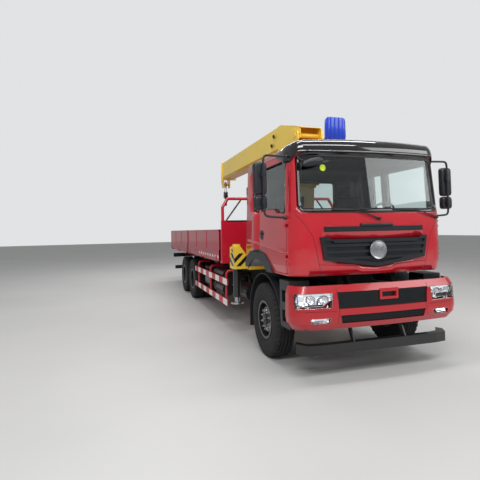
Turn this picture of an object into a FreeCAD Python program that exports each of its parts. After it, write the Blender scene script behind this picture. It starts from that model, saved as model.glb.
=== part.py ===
# Truck-mounted telescopic crane on a six-wheel, tandem rear axle truck.
# Frame: +X is the truck's left, the front faces -Y, +Z is up, tyres stand at z = 0.
# Origin: middle of the bounding box, on the ground. Millimetres and degrees.
import FreeCAD, Part
import math
import os
import Sketcher

V = FreeCAD.Vector
doc = FreeCAD.newDocument("TruckCrane")
sheet = doc.addObject("Spreadsheet::Sheet", "Sizes")


class Size:
    """A length or angle that knows its value and the sheet formula that gives it."""

    def __init__(self, value, text):
        self.value = float(value)
        self.text = text

    def __float__(self):
        return self.value

    def __add__(self, other):
        other = as_size(other)
        return Size(self.value + other.value, "(%s + %s)" % (self.text, other.text))

    def __sub__(self, other):
        other = as_size(other)
        return Size(self.value - other.value, "(%s - %s)" % (self.text, other.text))

    def __mul__(self, factor):
        factor = as_size(factor)
        return Size(self.value * factor.value, "(%s * %s)" % (self.text, factor.text))

    def __truediv__(self, divisor):
        divisor = as_size(divisor)
        return Size(self.value / divisor.value, "(%s / %s)" % (self.text, divisor.text))

    def __radd__(self, other):
        return as_size(other) + self

    def __rsub__(self, other):
        return as_size(other) - self

    def __rmul__(self, other):
        return as_size(other) * self

    def __neg__(self):
        return Size(-self.value, "(-1 * %s)" % self.text)


def as_size(number):
    if isinstance(number, Size):
        return number
    return Size(number, "(%.6f)" % float(number))


# Driving dimensions: name, value in mm, what it measures.
DIMENSIONS = (
    ("overall_length", 11100, "bumper face to tailgate face"),
    ("front_overhang", 1290, "bumper face to front axle"),
    ("rear_overhang", 220, "tailgate face behind the frame rails"),
    ("wheelbase", 5560, "front axle to first rear axle"),
    ("tandem_spacing", 1350, "between the rear axles"),
    ("tyre_radius", 530, "tyre outside radius"),
    ("tyre_width", 280, "tyre section width"),
    ("rim_radius", 254, "rim barrel outside radius"),
    ("rim_wall", 14, "rim barrel and disc thickness"),
    ("front_track_half", 1020, "centreline to front tyre centre"),
    ("rear_track_half", 925, "centreline to middle of twin tyres"),
    ("twin_spacing", 330, "between twin tyre centres"),
    ("spindle_radius", 45, "wheel spindle"),
    ("running_gap", 0.4, "radial clearance of pins, spindles and slides"),
    ("kingpin_half", 850, "centreline to kingpin"),
    ("rail_half_width", 430, "outside of the frame rails"),
    ("rail_height", 280, "frame rail depth"),
    ("rail_top", 1080, "frame rail top above ground"),
    ("rail_flange", 85, "frame rail flange width"),
    ("rail_wall", 12, "frame rail plate thickness"),
    ("spring_half", 390, "centreline to leaf spring middle"),
    ("spring_width", 80, "leaf spring width"),
    ("cab_half_width", 1160, "widest half width of the cab"),
    ("cab_wall", 60, "cab wall and door thickness"),
    ("cab_floor", 1250, "cab underside above ground"),
    ("cab_floor_thickness", 60, "cab floor thickness"),
    ("cab_waist", 2035, "windscreen lower edge"),
    ("cab_screen_top", 2835, "windscreen upper edge"),
    ("cab_roof", 2950, "cab roof above ground"),
    ("cab_nose", 1160, "cab nose ahead of front axle"),
    ("cab_back", 765, "cab rear wall behind front axle"),
    ("cab_corner", 230, "plan radius of the cab's front corners"),
    ("cab_bulge", 60, "how far the cab front bows forward"),
    ("cab_taper", 55, "narrowing of the cab side from waist to roof"),
    ("screen_rake", 70, "how far the windscreen leans back"),
    ("screen_half_width", 1065, "half width of the windscreen opening"),
    ("glass_thickness", 10, "window glass"),
    ("tilt_axis_ahead", 1100, "cab tilt axis ahead of front axle"),
    ("tilt_axis_height", 1060, "cab tilt axis above ground"),
    ("door_front_ahead", 900, "door front edge ahead of front axle"),
    ("door_rear_behind", 120, "door rear edge behind front axle"),
    ("door_gap", 6, "gap round each door"),
    ("door_hinge_out", 14, "door hinge axis outside the widest cab side"),
    ("sill_height", 2120, "lower edge of the side windows"),
    ("side_glass_top", 2735, "upper edge of the side windows"),
    ("arch_radius", 650, "wheel arch radius in the cab side"),
    ("arch_behind", 200, "wheel arch centre behind front axle"),
    ("arch_height", 750, "wheel arch centre above ground"),
    ("trim_radius", 815, "outside radius of the dark arch trim"),
    ("trim_top", 1510, "flat top of the dark arch trim"),
    ("trim_proud", 22, "how far the arch trim stands off the cab side"),
    ("visor_depth", 190, "height of the gloss visor over the windscreen"),
    ("visor_thickness", 55, "how far the visor stands proud"),
    ("grille_half_width", 800, "main grille upper half width"),
    ("grille_top", 1735, "main grille upper edge"),
    ("grille_bottom", 1350, "main grille lower point"),
    ("grille_depth", 40, "main grille recess depth"),
    ("bumper_half_width", 1225, "half width of the bumper"),
    ("bumper_bottom", 620, "bumper lower edge"),
    ("bumper_top", 1150, "bumper upper edge"),
    ("bumper_wall", 40, "bumper shell thickness"),
    ("bumper_back", 970, "bumper side end ahead of front axle"),
    ("bumper_corner", 190, "plan radius of the bumper corners"),
    ("bumper_bulge", 55, "how far the bumper bows forward"),
    ("bed_front_behind", 2100, "front of the bed behind front axle"),
    ("bed_half_width", 1250, "half width of the bed"),
    ("bed_floor_top", 1290, "bed floor above ground"),
    ("bed_floor_thickness", 45, "bed floor plate and edge beam"),
    ("bed_side_top", 1865, "top of the drop sides"),
    ("bed_side_thickness", 42, "drop side thickness"),
    ("gate_hinge_height", 1245, "drop side hinge axis above ground"),
    ("gate_hinge_out", 12, "hinge axis outside the drop side face"),
    ("gate_gap", 8, "gap between drop side and post"),
    ("post_width", 90, "bed post width"),
    ("bulkhead_top", 2040, "top of the front board"),
    ("bulkhead_thickness", 50, "front board thickness"),
    ("headboard_top", 2500, "top rail of the tube frame"),
    ("headboard_tube", 30, "radius of the headboard tubes"),
    ("slew_behind", 1350, "slew axis behind front axle"),
    ("slew_ring_radius", 330, "slewing ring outside radius"),
    ("crane_base_top", 1780, "top of the fixed crane pedestal"),
    ("column_half_width", 245, "half width of the slewing column"),
    ("pivot_setback", 600, "boom pivot from slew axis, away from the boom"),
    ("pivot_height", 3470, "boom pivot above ground"),
    ("pivot_radius", 45, "boom pivot pin"),
    ("cheek_thickness", 30, "column cheek plates"),
    ("boom_half_width", 195, "half width of the outer boom section"),
    ("boom_top", 3830, "top of the outer boom section"),
    ("boom_depth", 470, "depth of the outer boom section"),
    ("boom_wall", 12, "boom plate thickness"),
    ("boom_step", 14, "clearance step from one section to the next"),
    ("boom_base_length", 4650, "slew axis to front end of outer section"),
    ("boom_collar", 90, "length each inner section shows when stowed"),
    ("boom_overlap", 900, "length that stays inside when extended"),
    ("boom_stroke", 3300, "stroke of each inner section"),
    ("luff_base_reach", 250, "cylinder base pin from slew axis, under the boom"),
    ("luff_base_height", 3010, "cylinder base pin above ground"),
    ("luff_eye_reach", 1900, "cylinder rod eye from slew axis, at rest"),
    ("luff_eye_height", 3255, "cylinder rod eye above ground, at rest"),
    ("luff_barrel_radius", 85, "lifting cylinder barrel"),
    ("luff_rod_radius", 45, "lifting cylinder rod"),
    ("beam_height", 220, "outrigger beam height"),
    ("beam_width", 140, "outrigger beam width"),
    ("beam_wall", 20, "outrigger housing wall"),
    ("beam_bottom", 1130, "outrigger housing underside"),
    ("jack_out", 1130, "centreline to stabiliser jack, stowed"),
    ("jack_radius", 70, "stabiliser jack tube"),
    ("jack_rod_radius", 48, "stabiliser jack rod"),
    ("jack_bottom", 640, "underside of the jack tube"),
    ("jack_pad_radius", 115, "foot pad"),
    ("jack_pad_height", 520, "foot pad underside above ground, stowed"),
    ("hitch_bore_radius", 20, "rear drawbar pin bore"),
    ("guard_half_width", 1235, "outside of the side guards"),
    ("guard_rail_height", 125, "height of a side guard rail"),
    ("mirror_out", 1460, "centreline to mirror middle"),
    ("mirror_width", 175, "mirror housing width"),
    ("mirror_top", 2710, "top of the mirror housing"),
    ("mirror_bottom", 2100, "bottom of the mirror housing"),
)


class Sizes:
    """The driving dimensions by name."""


s = Sizes()
for row, (name, value, meaning) in enumerate(DIMENSIONS, start=1):
    sheet.set("A%d" % row, name)
    sheet.set("B%d" % row, str(value))
    sheet.set("C%d" % row, meaning)
    sheet.setAlias("B%d" % row, name)
    setattr(s, name, Size(value, "Sizes.%s" % name))
doc.recompute()

finished = []


def sub_part(name, item):
    """Name a finished piece; its label names its file."""
    item.Label = name
    finished.append(item)
    return item


def bind(item, path, size):
    """Set a property and tie it to the sheet's formula."""
    size = as_size(size)
    if "." not in path and "[" not in path:
        setattr(item, path, size.value)
    if "Sizes." in size.text:
        item.setExpression(path, size.text)


def place(item, x, y, z, rotation=None):
    corner = [as_size(v) for v in (x, y, z)]
    turn = rotation or FreeCAD.Rotation()
    item.Placement = FreeCAD.Placement(V(*[c.value for c in corner]), turn)
    for axis, value in zip("xyz", corner):
        bind(item, "Placement.Base." + axis, value)
    return item


def box(x, y, z):
    """A block between low and high values on each axis."""
    block = doc.addObject("Part::Box", "Block")
    for prop, (low, high) in zip(("Length", "Width", "Height"), (x, y, z)):
        bind(block, prop, as_size(high) - low)
    return place(block, x[0], y[0], z[0])


ALONG = {
    "x": FreeCAD.Rotation(V(0, 1, 0), 90),
    "y": FreeCAD.Rotation(V(1, 0, 0), -90),
    "z": FreeCAD.Rotation(),
}


def rod(axis, x, y, z, radius):
    """A cylinder; the coordinate along its axis is a low, high pair."""
    where = {"x": x, "y": y, "z": z}
    low, high = where[axis]
    where[axis] = low
    cylinder = doc.addObject("Part::Cylinder", "Rod")
    bind(cylinder, "Radius", radius)
    bind(cylinder, "Height", as_size(high) - low)
    return place(cylinder, where["x"], where["y"], where["z"], ALONG[axis])


def fuse(*items):
    if len(items) == 1:
        return items[0]
    joined = doc.addObject("Part::MultiFuse", "Joined")
    joined.Shapes = list(items)
    return joined


def cut(base, *tools):
    result = doc.addObject("Part::Cut", "Trimmed")
    result.Base = base
    result.Tool = fuse(*tools)
    return result


def solid(shape):
    """A piece whose outline needs lofts or sweeps, made from the same sizes."""
    feature = doc.addObject("Part::Feature", "Formed")
    feature.Shape = shape
    return feature


PLANES = {"z": "XY_Plane", "y": "XZ_Plane", "x": "YZ_Plane"}


def origin_plane(body, role):
    return [f for f in body.Origin.OriginFeatures if f.Role == role][0]


def outline_sketch(body, role, points):
    """A closed polygon whose every corner is dimensioned from the origin."""
    sketch = body.newObject("Sketcher::SketchObject", "Outline")
    sketch.AttachmentSupport = [(origin_plane(body, role), "")]
    sketch.MapMode = "FlatFace"
    corners = [(as_size(u), as_size(v)) for u, v in points]
    flat = [V(u.value, v.value, 0) for u, v in corners]
    count = len(flat)
    for i in range(count):
        sketch.addGeometry(Part.LineSegment(flat[i], flat[(i + 1) % count]), False)
    for i in range(count):
        sketch.addConstraint(Sketcher.Constraint("Coincident", i, 2, (i + 1) % count, 1))
    for i, (u, v) in enumerate(corners):
        for kind, value in (("DistanceX", u), ("DistanceY", v)):
            index = sketch.addConstraint(Sketcher.Constraint(kind, -1, 1, i, 1, value.value))
            if "Sizes." in value.text:
                sketch.setExpression("Constraints[%d]" % index, value.text)
    return sketch


def plate(axis, points, low, high, rounds=None):
    """A plate with a polygon outline, from low to high along an axis.

    Points are (x, y) for axis z, (x, z) for axis y and (y, z) for axis x.
    rounds gives a corner radius by the corner's index.
    """
    body = doc.addObject("PartDesign::Body", "Plate")
    sketch = outline_sketch(body, PLANES[axis], points)
    start = -as_size(high) if axis == "y" else as_size(low)
    sketch.AttachmentOffset = FreeCAD.Placement(V(0, 0, start.value), FreeCAD.Rotation())
    bind(sketch, "AttachmentOffset.Base.z", start)
    pad = body.newObject("PartDesign::Pad", "Pad")
    pad.Profile = sketch
    bind(pad, "Length", as_size(high) - low)
    body.Tip = pad
    doc.recompute()
    for radius, corners in grouped(rounds or {}).items():
        before = body.Tip
        names = [edge_at(before.Shape, axis, points[i]) for i in corners]
        fillet = body.newObject("PartDesign::Fillet", "Round")
        fillet.Base = (before, names)
        bind(fillet, "Radius", radius)
        body.Tip = fillet
        doc.recompute()
    return body


def grouped(rounds):
    groups = {}
    for corner, radius in rounds.items():
        groups.setdefault(radius, []).append(corner)
    return groups


def edge_at(shape, axis, point):
    """The edge along an axis nearest to a corner of the outline."""
    u, v = [float(as_size(c)) for c in point]
    pick = {"z": (0, 1), "y": (0, 2), "x": (1, 2)}[axis]
    along = {"x": 0, "y": 1, "z": 2}[axis]
    best = None
    for number, edge in enumerate(shape.Edges, start=1):
        ends = [vertex.Point for vertex in edge.Vertexes]
        if len(ends) != 2 or abs(ends[0][along] - ends[1][along]) < 1e-3:
            continue
        off = max(abs(e[pick[0]] - u) + abs(e[pick[1]] - v) for e in ends)
        if best is None or off < best[0]:
            best = (off, number)
    return "Edge%d" % best[1]


def spun(points, x, y, z):
    """A turned piece about an axis along X; points are (x from its place, radius)."""
    body = doc.addObject("PartDesign::Body", "Turned")
    sketch = outline_sketch(body, "XY_Plane", points)
    turn = body.newObject("PartDesign::Revolution", "Turn")
    turn.Profile = sketch
    turn.ReferenceAxis = (sketch, ["H_Axis"])
    turn.Angle = 360
    body.Tip = turn
    doc.recompute()
    return place(body, x, y, z)


def side_span(side, inner, outer):
    """Low and high X of something that lies from inner to outer on one side."""
    return (as_size(inner), as_size(outer)) if side > 0 else (-as_size(outer), -as_size(inner))


def tube_path(points, radius):
    """Round bar through points, mitred at the bends."""
    run = V(*points[1]) - V(*points[0])
    if len(points) == 2:
        return Part.makeCylinder(radius, run.Length, V(*points[0]), run)
    path = Part.makePolygon([V(*point) for point in points])
    ring = Part.Wire(Part.makeCircle(radius, V(*points[0]), run))
    return path.makePipeShell([ring], True, False, 1)


HINGE_PIN = 5.0
HINGE_HALF = 45.0


def hinge_knuckle(radius):
    """Knuckle of a gate along Y at the origin, its bore and the pin's two ears.

    The ears reach inward, toward -X, under the gate to the bed's edge beam.
    """
    gap = float(s.running_gap)
    tube = Part.makeCylinder(radius, 2 * HINGE_HALF, V(0, -HINGE_HALF, 0), V(0, 1, 0))
    bore = Part.makeCylinder(HINGE_PIN + gap, 4 * HINGE_HALF, V(0, -2 * HINGE_HALF, 0), V(0, 1, 0))
    ears = []
    for y in (-HINGE_HALF - gap - 10, HINGE_HALF + gap):
        ears.append(Part.makeCylinder(radius, 10, V(0, y, 0), V(0, 1, 0)))
        ears.append(rounded_prism([(-80, -46), (-2, -46), (6, -30), (6, -1), (-6, -1), (-7, -14), (-80, -14)],
                                  "y", y, y + 10, 0))
    pin = Part.makeCylinder(HINGE_PIN, 2 * (HINGE_HALF + gap + 10), V(0, -HINGE_HALF - gap - 10, 0), V(0, 1, 0))
    return tube, bore, ears + [pin]


def moved(shape, x, y, z, turn=0):
    copy = shape.copy()
    copy.Placement = FreeCAD.Placement(V(x, y, z), FreeCAD.Rotation(V(0, 0, 1), turn))
    return copy


SIDES = (("left", 1), ("right", -1))

# Places along the truck, measured from the front axle.
front_axle_y = s.front_overhang - s.overall_length / 2
mid_axle_y = front_axle_y + s.wheelbase
rear_axle_y = mid_axle_y + s.tandem_spacing
bed_front_y = front_axle_y + s.bed_front_behind
tail_y = s.overall_length / 2
slew_y = front_axle_y + s.slew_behind
rail_front_y = front_axle_y - 1000
rail_rear_y = tail_y - s.rear_overhang
rail_bottom = s.rail_top - s.rail_height
cab_back_y = front_axle_y + s.cab_back
tilt_axis_y = front_axle_y - s.tilt_axis_ahead


# Chassis frame: two channel rails, cross members, tilt brackets and underrun bar
def channel_rail(side):
    inner = s.rail_half_width - s.rail_flange
    web = s.rail_half_width - s.rail_wall
    top = s.rail_top
    low = rail_bottom
    points = [
        (s.rail_half_width, low), (s.rail_half_width, top), (inner, top),
        (inner, top - s.rail_wall), (web, top - s.rail_wall), (web, low + s.rail_wall),
        (inner, low + s.rail_wall), (inner, low),
    ]
    return plate("y", [(u * side, v) for u, v in points], rail_front_y, rail_rear_y)


CROSS_MEMBERS = (
    # behind the front axle, underside above the rail's bottom, height
    (-960, 30, 200),
    (1150, 90, 120),
    (2500, 90, 160),
    (3900, 90, 160),
    (5000, 90, 160),
    (6235, 40, 200),
    (7800, 60, 160),
    (9400, 30, 220),
)


def tilt_bracket(side):
    """Ear ahead of each rail that carries the cab's tilt pin."""
    ear = plate("x", [
        (tilt_axis_y - 45, s.tilt_axis_height - 45), (rail_front_y + 1, rail_bottom + 80),
        (rail_front_y + 1, s.rail_top), (tilt_axis_y - 45, s.tilt_axis_height + 45),
    ], *side_span(side, s.rail_half_width - 40, s.rail_half_width), rounds={0: 30, 3: 30})
    pin = rod("x", side_span(side, s.rail_half_width - 150, s.rail_half_width + 10),
              tilt_axis_y, s.tilt_axis_height, 22)
    return fuse(ear, pin)


def underrun_bar():
    """Bar with ends swept back, under the bumper, on two hangers."""
    y = float(front_axle_y)
    front, sweep, reach = y - 1180, y - 1010, 1110
    points = [(-reach, sweep), (-reach + 90, front + 25), (-reach + 260, front),
              (reach - 260, front), (reach - 90, front + 25), (reach, sweep)]
    back = [(x * 0.965, yy + 90) for x, yy in reversed(points)]
    bar = plate("z", points + back, 305, 430)
    hangers = []
    for name, side in SIDES:
        hangers.append(plate("x", [
            (front_axle_y - 1160, 429), (front_axle_y - 1100, 429), (rail_front_y + 90, rail_bottom + 1),
            (rail_front_y, rail_bottom + 1),
        ], *side_span(side, s.rail_half_width - 60, s.rail_half_width - 40)))
    return fuse(bar, *hangers)


rails = [channel_rail(side) for name, side in SIDES]
web_inside = s.rail_half_width - s.rail_wall
members = []
for behind, up, height in CROSS_MEMBERS:
    y = front_axle_y + behind
    members.append(box((-web_inside, web_inside), (y, y + 80), (rail_bottom + up, rail_bottom + up + height)))
brackets = [tilt_bracket(side) for name, side in SIDES]
sub_part("chassis_frame", fuse(*rails, *members, *brackets, underrun_bar()))


# Front axle: dropped I-beam, kingpin bosses and leaf springs
def leaf_spring(middle_x, y, half_length, eye_z, seat_z, thickness):
    """A curved pack of leaves between its two eyes, drawn side on."""
    x0 = float(middle_x - s.spring_width / 2)
    low = [V(x0, y - half_length, eye_z), V(x0, y, seat_z), V(x0, y + half_length, eye_z)]
    up = V(0, 0, thickness)
    bottom = Part.Arc(*low).toShape()
    top = Part.Arc(*[p + up for p in low]).toShape()
    ends = [Part.makeLine(low[0], low[0] + up), Part.makeLine(low[2], low[2] + up)]
    wire = Part.Wire(Part.__sortEdges__([bottom, top] + ends))
    return solid(Part.Face(wire).extrude(V(float(s.spring_width), 0, 0)))


KINGPIN_RADIUS = 26
BOSS_RADIUS = 58
BOSS_LOW = s.tyre_radius - 75
BOSS_HIGH = s.tyre_radius + 75


def front_axle():
    half = s.kingpin_half
    beam = plate("y", [
        (-half, BOSS_LOW + 15), (-half + 60, BOSS_LOW + 15), (-half + 170, s.tyre_radius - 130),
        (half - 170, s.tyre_radius - 130), (half - 60, BOSS_LOW + 15), (half, BOSS_LOW + 15),
        (half, BOSS_HIGH - 25), (half - 190, s.tyre_radius - 30),
        (-half + 190, s.tyre_radius - 30), (-half, BOSS_HIGH - 25),
    ], front_axle_y - 45, front_axle_y + 45)
    bosses = [rod("z", half * side, front_axle_y, (BOSS_LOW, BOSS_HIGH), BOSS_RADIUS) for n, side in SIDES]
    bores = [rod("z", half * side, front_axle_y, (BOSS_LOW - 5, BOSS_HIGH + 5),
                 KINGPIN_RADIUS + s.running_gap) for n, side in SIDES]
    pieces = [cut(fuse(beam, *bosses), *bores)]
    seat_z = float(s.tyre_radius) + 60
    for name, side in SIDES:
        spring_x = s.spring_half * side
        pieces.append(leaf_spring(spring_x, float(front_axle_y), 720, float(rail_bottom) - 75, seat_z, 65))
        pieces.append(box((spring_x - 45, spring_x + 45), (front_axle_y - 80, front_axle_y + 80),
                          (s.tyre_radius - 40, seat_z + 4)))
        for end in (-1, 1):
            y = front_axle_y + 720 * end
            pieces.append(box((spring_x - 30, spring_x + 30), (y - 35, y + 35),
                              (rail_bottom - 90, rail_bottom)))
    return fuse(*pieces)


sub_part("front_axle", front_axle())


# Knuckles: kingpin, two lugs, spindle and steering arm, one each side
def knuckle(side):
    half = s.kingpin_half * side
    pin = rod("z", half, front_axle_y, (BOSS_LOW - 60, BOSS_HIGH + 60), KINGPIN_RADIUS)
    lugs = []
    for low, high in ((BOSS_LOW - 55, BOSS_LOW - 5), (BOSS_HIGH + 5, BOSS_HIGH + 55)):
        lugs.append(rod("z", half, front_axle_y, (low, high), 50))
        lugs.append(box(side_span(side, s.kingpin_half, s.kingpin_half + 100),
                        (front_axle_y - 45, front_axle_y + 45), (low, high)))
    bridge = box(side_span(side, s.kingpin_half + 70, s.kingpin_half + 100),
                 (front_axle_y - 60, front_axle_y + 60), (BOSS_LOW - 55, BOSS_HIGH + 55))
    spindle = rod("x", side_span(side, s.kingpin_half + 90, s.front_track_half + 70), front_axle_y,
                  s.tyre_radius, s.spindle_radius)
    arm = plate("z", [
        ((s.kingpin_half - 25) * side, front_axle_y), ((s.kingpin_half + 25) * side, front_axle_y),
        ((s.kingpin_half - 45) * side, front_axle_y + 210), ((s.kingpin_half - 85) * side, front_axle_y + 210),
    ], BOSS_LOW - 50, BOSS_LOW - 20)
    return fuse(pin, *lugs, bridge, spindle, arm)


for name, side in SIDES:
    sub_part("knuckle_%s" % name, knuckle(side))


# Wheels: tyre and rim as turned pieces
def tyre_outline(centre):
    """Section of one tyre from bead to tread, points (x, radius)."""
    half = s.tyre_width / 2
    bead = s.rim_radius + s.running_gap
    tread = s.tyre_radius
    profile = (
        # share of the half width, radius
        (0.78, bead), (0.79, bead + 24), (0.97, bead + 90), (1.0, bead + 150), (0.96, tread - 45), (0.84, tread - 8),
        (0.72, tread),
    )
    outer = [(centre + half * share, radius) for share, radius in profile]
    inner = [(centre - half * share, radius) for share, radius in reversed(profile)]
    return outer + inner


def barrel_outline(centre):
    """Rim barrel with its bead flanges outside the tyre's beads."""
    half = s.tyre_width / 2
    seat = s.rim_radius
    bore = s.rim_radius - s.rim_wall
    rim_edge = half * 0.9
    lip = half * 0.8
    return [
        (centre - rim_edge, bore), (centre + rim_edge, bore), (centre + rim_edge, seat + 22),
        (centre + lip, seat + 22), (centre + lip, seat), (centre - lip, seat),
        (centre - lip, seat + 22), (centre - rim_edge, seat + 22),
    ]


def disc_outline(face, depth, hub_reach, seats):
    """Dished discs from the hub flange to each barrel's seat, with the hub through them."""
    bore = s.rim_radius - s.rim_wall
    shaft = s.spindle_radius + s.running_gap
    wall = s.rim_wall
    outer, inner = seats[-1], seats[0]
    points = [
        (face - depth, shaft), (face + hub_reach, shaft), (face + hub_reach, 78), (face + wall, 92),
        (face + wall, 180), (outer + wall, bore), (outer, bore), (face, 180),
    ]
    if len(seats) > 1:
        points += [(inner + wall, bore), (inner, bore), (face - wall, 172), (face - wall, 92)]
    else:
        points.append((face, 92))
    return points + [(face - depth, 92)]


def hand_holes(x0, x1, y):
    """Round hand holes through the disc, on one circle."""
    count = 10
    holes = []
    circle = 0.5 * (178.0 + float(s.rim_radius - s.rim_wall))
    for i in range(count):
        angle = 2 * math.pi * i / count
        holes.append(rod("x", (x0, x1), y + circle * math.sin(angle),
                         s.tyre_radius + circle * math.cos(angle), 17))
    return holes


def wheel_set(name, side, y, centres, disc_face, hub_depth, hub_reach):
    """One wheel or twin pair turning on one hub; centres are tyre middles outward."""
    spots = [c * side for c in centres]
    tyres = [spun(tyre_outline(c), 0, y, s.tyre_radius) for c in spots]
    sub_part("tyre_%s" % name, fuse(*tyres))
    barrels = [spun(barrel_outline(c), 0, y, s.tyre_radius) for c in spots]
    seats = [disc_face - 45] if len(centres) == 1 else [centres[0] + 75, centres[1] - 85]
    profile = [(u * side, v) for u, v in disc_outline(disc_face, hub_depth, hub_reach, seats)]
    disc = spun(profile, 0, y, s.tyre_radius)
    holes = hand_holes(*side_span(side, disc_face - 160, disc_face + 60), y)
    cap = rod("x", side_span(side, disc_face + hub_reach, disc_face + hub_reach + 22), y, s.tyre_radius, 78)
    sub_part("rim_%s" % name, fuse(*barrels, cut(disc, *holes), cap))


twin = (s.rear_track_half - s.twin_spacing / 2, s.rear_track_half + s.twin_spacing / 2)
for name, side in SIDES:
    face = s.front_track_half + 70
    wheel_set("front_" + name, side, front_axle_y, [s.front_track_half], face, 110, 30)
    for row_name, y in (("mid_", mid_axle_y), ("rear_", rear_axle_y)):
        wheel_set(row_name + name, side, y, list(twin), s.rear_track_half + 55, 150, 75)


# Rear axles: banjo housings, spindles, shared leaf packs and torque rods
def axle_housing(y):
    centre = s.tyre_radius
    inner_end = twin[0] - s.tyre_width / 2 - 40
    casing = rod("x", (-inner_end, inner_end), y, centre, 75)
    ends = [rod("x", side_span(side, inner_end - 1, s.rear_track_half + 125), y, centre, s.spindle_radius)
            for n, side in SIDES]
    banjo = rod("y", 0, (y - 150, y + 130), centre, 200)
    nose = rod("y", 0, (y - 300, y - 149), centre, 85)
    return fuse(casing, banjo, nose, *ends)


def rear_axles():
    middle = float((mid_axle_y + rear_axle_y) / 2)
    half = float(s.tandem_spacing / 2)
    pieces = [axle_housing(mid_axle_y), axle_housing(rear_axle_y)]
    seat = s.tyre_radius + 70
    for name, side in SIDES:
        x = s.spring_half * side
        pieces.append(leaf_spring(x, middle, half + 60, float(seat) + 25, float(seat) + 110, 75))
        for y in (mid_axle_y, rear_axle_y):
            pieces.append(box((x - 45, x + 45), (y - 70, y + 70), (s.tyre_radius + 40, seat + 50)))
        pieces.append(box((x - 60, x + 60), (middle - 90, middle + 90), (seat + 150, rail_bottom)))
    return fuse(*pieces)


sub_part("rear_axles", rear_axles())


# Engine, gearbox and propeller shafts in one line between the rails
def driveline():
    y = front_axle_y
    block = box((-280, 280), (y - 620, y + 420), (s.tyre_radius + 110, s.cab_floor - 45))
    gearbox = box((-180, 180), (y + 419, y + 1080), (s.tyre_radius + 130, s.tyre_radius + 480))
    shaft_z = s.tyre_radius + 290
    shaft = rod("y", 0, (y + 1079, mid_axle_y - 1400), shaft_z, 55)
    start = V(0, float(mid_axle_y - 1400), float(shaft_z))
    end = V(0, float(mid_axle_y - 314), float(s.tyre_radius))
    slanted = solid(tube_path([start, end], 50).fuse(Part.makeSphere(60, start)))
    mounts = []
    for half, ahead in ((279, -400), (279, 220), (179, 820)):
        for name, side in SIDES:
            mounts.append(box(side_span(side, half, s.rail_half_width - s.rail_wall), (y + ahead, y + ahead + 80),
                              (rail_bottom + 60, rail_bottom + 120)))
    return fuse(block, gearbox, shaft, slanted, *mounts)


sub_part("engine_driveline", driveline())


# Cab: lofted shell, hollow, with windows, arches and door openings cut
def plan_section(z, half, front_y, bulge, corner, back_y):
    """Plan outline at one height: bowed front, round front corners, straight sides."""
    edge_y = front_y + bulge
    k = corner * math.sqrt(0.5)
    cx, cy = half - corner, edge_y + corner
    pts = [V(-half, back_y, z), V(-half, cy, z), V(-cx - k, cy - k, z), V(-cx, edge_y, z), V(0, front_y, z),
           V(cx, edge_y, z), V(cx + k, cy - k, z), V(half, cy, z), V(half, back_y, z)]
    edges = [
        Part.makeLine(pts[0], pts[1]), Part.Arc(pts[1], pts[2], pts[3]).toShape(),
        Part.Arc(pts[3], pts[4], pts[5]).toShape(), Part.Arc(pts[5], pts[6], pts[7]).toShape(),
        Part.makeLine(pts[7], pts[8]), Part.makeLine(pts[8], pts[0]),
    ]
    return Part.Wire(edges)


def cab_levels(inset):
    """Heights of the cab's sections with half width, nose and corner, inset by a wall."""
    nose = float(front_axle_y - s.cab_nose)
    half = float(s.cab_half_width)
    rake = float(s.screen_rake)
    taper = float(s.cab_taper)
    corner = float(s.cab_corner)
    waist = float(s.cab_waist)
    rows = (
        # height, half width, nose y, corner radius
        (float(s.cab_floor), half - 12, nose + 45, corner),
        (1375.0, half, nose + 22, corner),
        (1600.0, half, nose + 8, corner),
        (waist, half - 18, nose, corner),
        (float(s.cab_screen_top), half - taper, nose + rake, corner),
        (float(s.cab_roof) - 45, half - taper - 15, nose + rake + 30, corner),
        (float(s.cab_roof), half - taper - 85, nose + rake + 120, corner),
    )
    return [(z, w - inset, y + inset, c - inset) for z, w, y, c in rows]


def cab_solid(inset, low=None, high=None):
    rows = cab_levels(inset)
    back = float(cab_back_y) - inset
    bulge = float(s.cab_bulge)
    if low is not None:
        rows = [blend_row(rows, low)] + [r for r in rows if low < r[0] < high] + [blend_row(rows, high)]
    wires = [plan_section(z, w, y, bulge, c, back) for z, w, y, c in rows]
    return Part.makeLoft(wires, True, True)


def blend_row(rows, z):
    for a, b in zip(rows, rows[1:]):
        if a[0] <= z <= b[0]:
            t = (z - a[0]) / (b[0] - a[0])
            return tuple(p + (q - p) * t for p, q in zip(a, b))
    return rows[-1]


def rounded_prism(points, axis, low, high, radius):
    """A prism with a polygon outline, all edges along its axis rounded."""
    place_of = {
        "y": lambda u, v: V(u, low, v),
        "x": lambda u, v: V(low, u, v),
        "z": lambda u, v: V(u, v, low),
    }[axis]
    way = {"x": V(1, 0, 0), "y": V(0, 1, 0), "z": V(0, 0, 1)}[axis]
    ring = [place_of(float(as_size(u)), float(as_size(v))) for u, v in points]
    block = Part.Face(Part.makePolygon(ring + [ring[0]])).extrude(way * (high - low))
    if radius:
        edges = [e for e in block.Edges if e.Curve.Direction.cross(way).Length < 1e-6]
        block = block.makeFillet(radius, edges)
    return block


def arch_prism(x0, x1, grow):
    """The round wheel arch, as a cylinder across the cab side."""
    y = float(front_axle_y + s.arch_behind)
    radius = float(s.arch_radius) + grow
    return Part.makeCylinder(radius, x1 - x0, V(x0, y, float(s.arch_height)), V(1, 0, 0))


def trim_prism(x0, x1, grow):
    """Outside of the arch trim: a larger round with a flat top."""
    y = float(front_axle_y + s.arch_behind)
    radius = float(s.trim_radius) + grow
    round_part = Part.makeCylinder(radius, x1 - x0, V(x0, y, float(s.arch_height)), V(1, 0, 0))
    return round_part.common(Part.makeBox(x1 - x0, 2 * radius, 2000,
                                          V(x0, y - radius, float(s.trim_top) + grow - 2000)))


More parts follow.
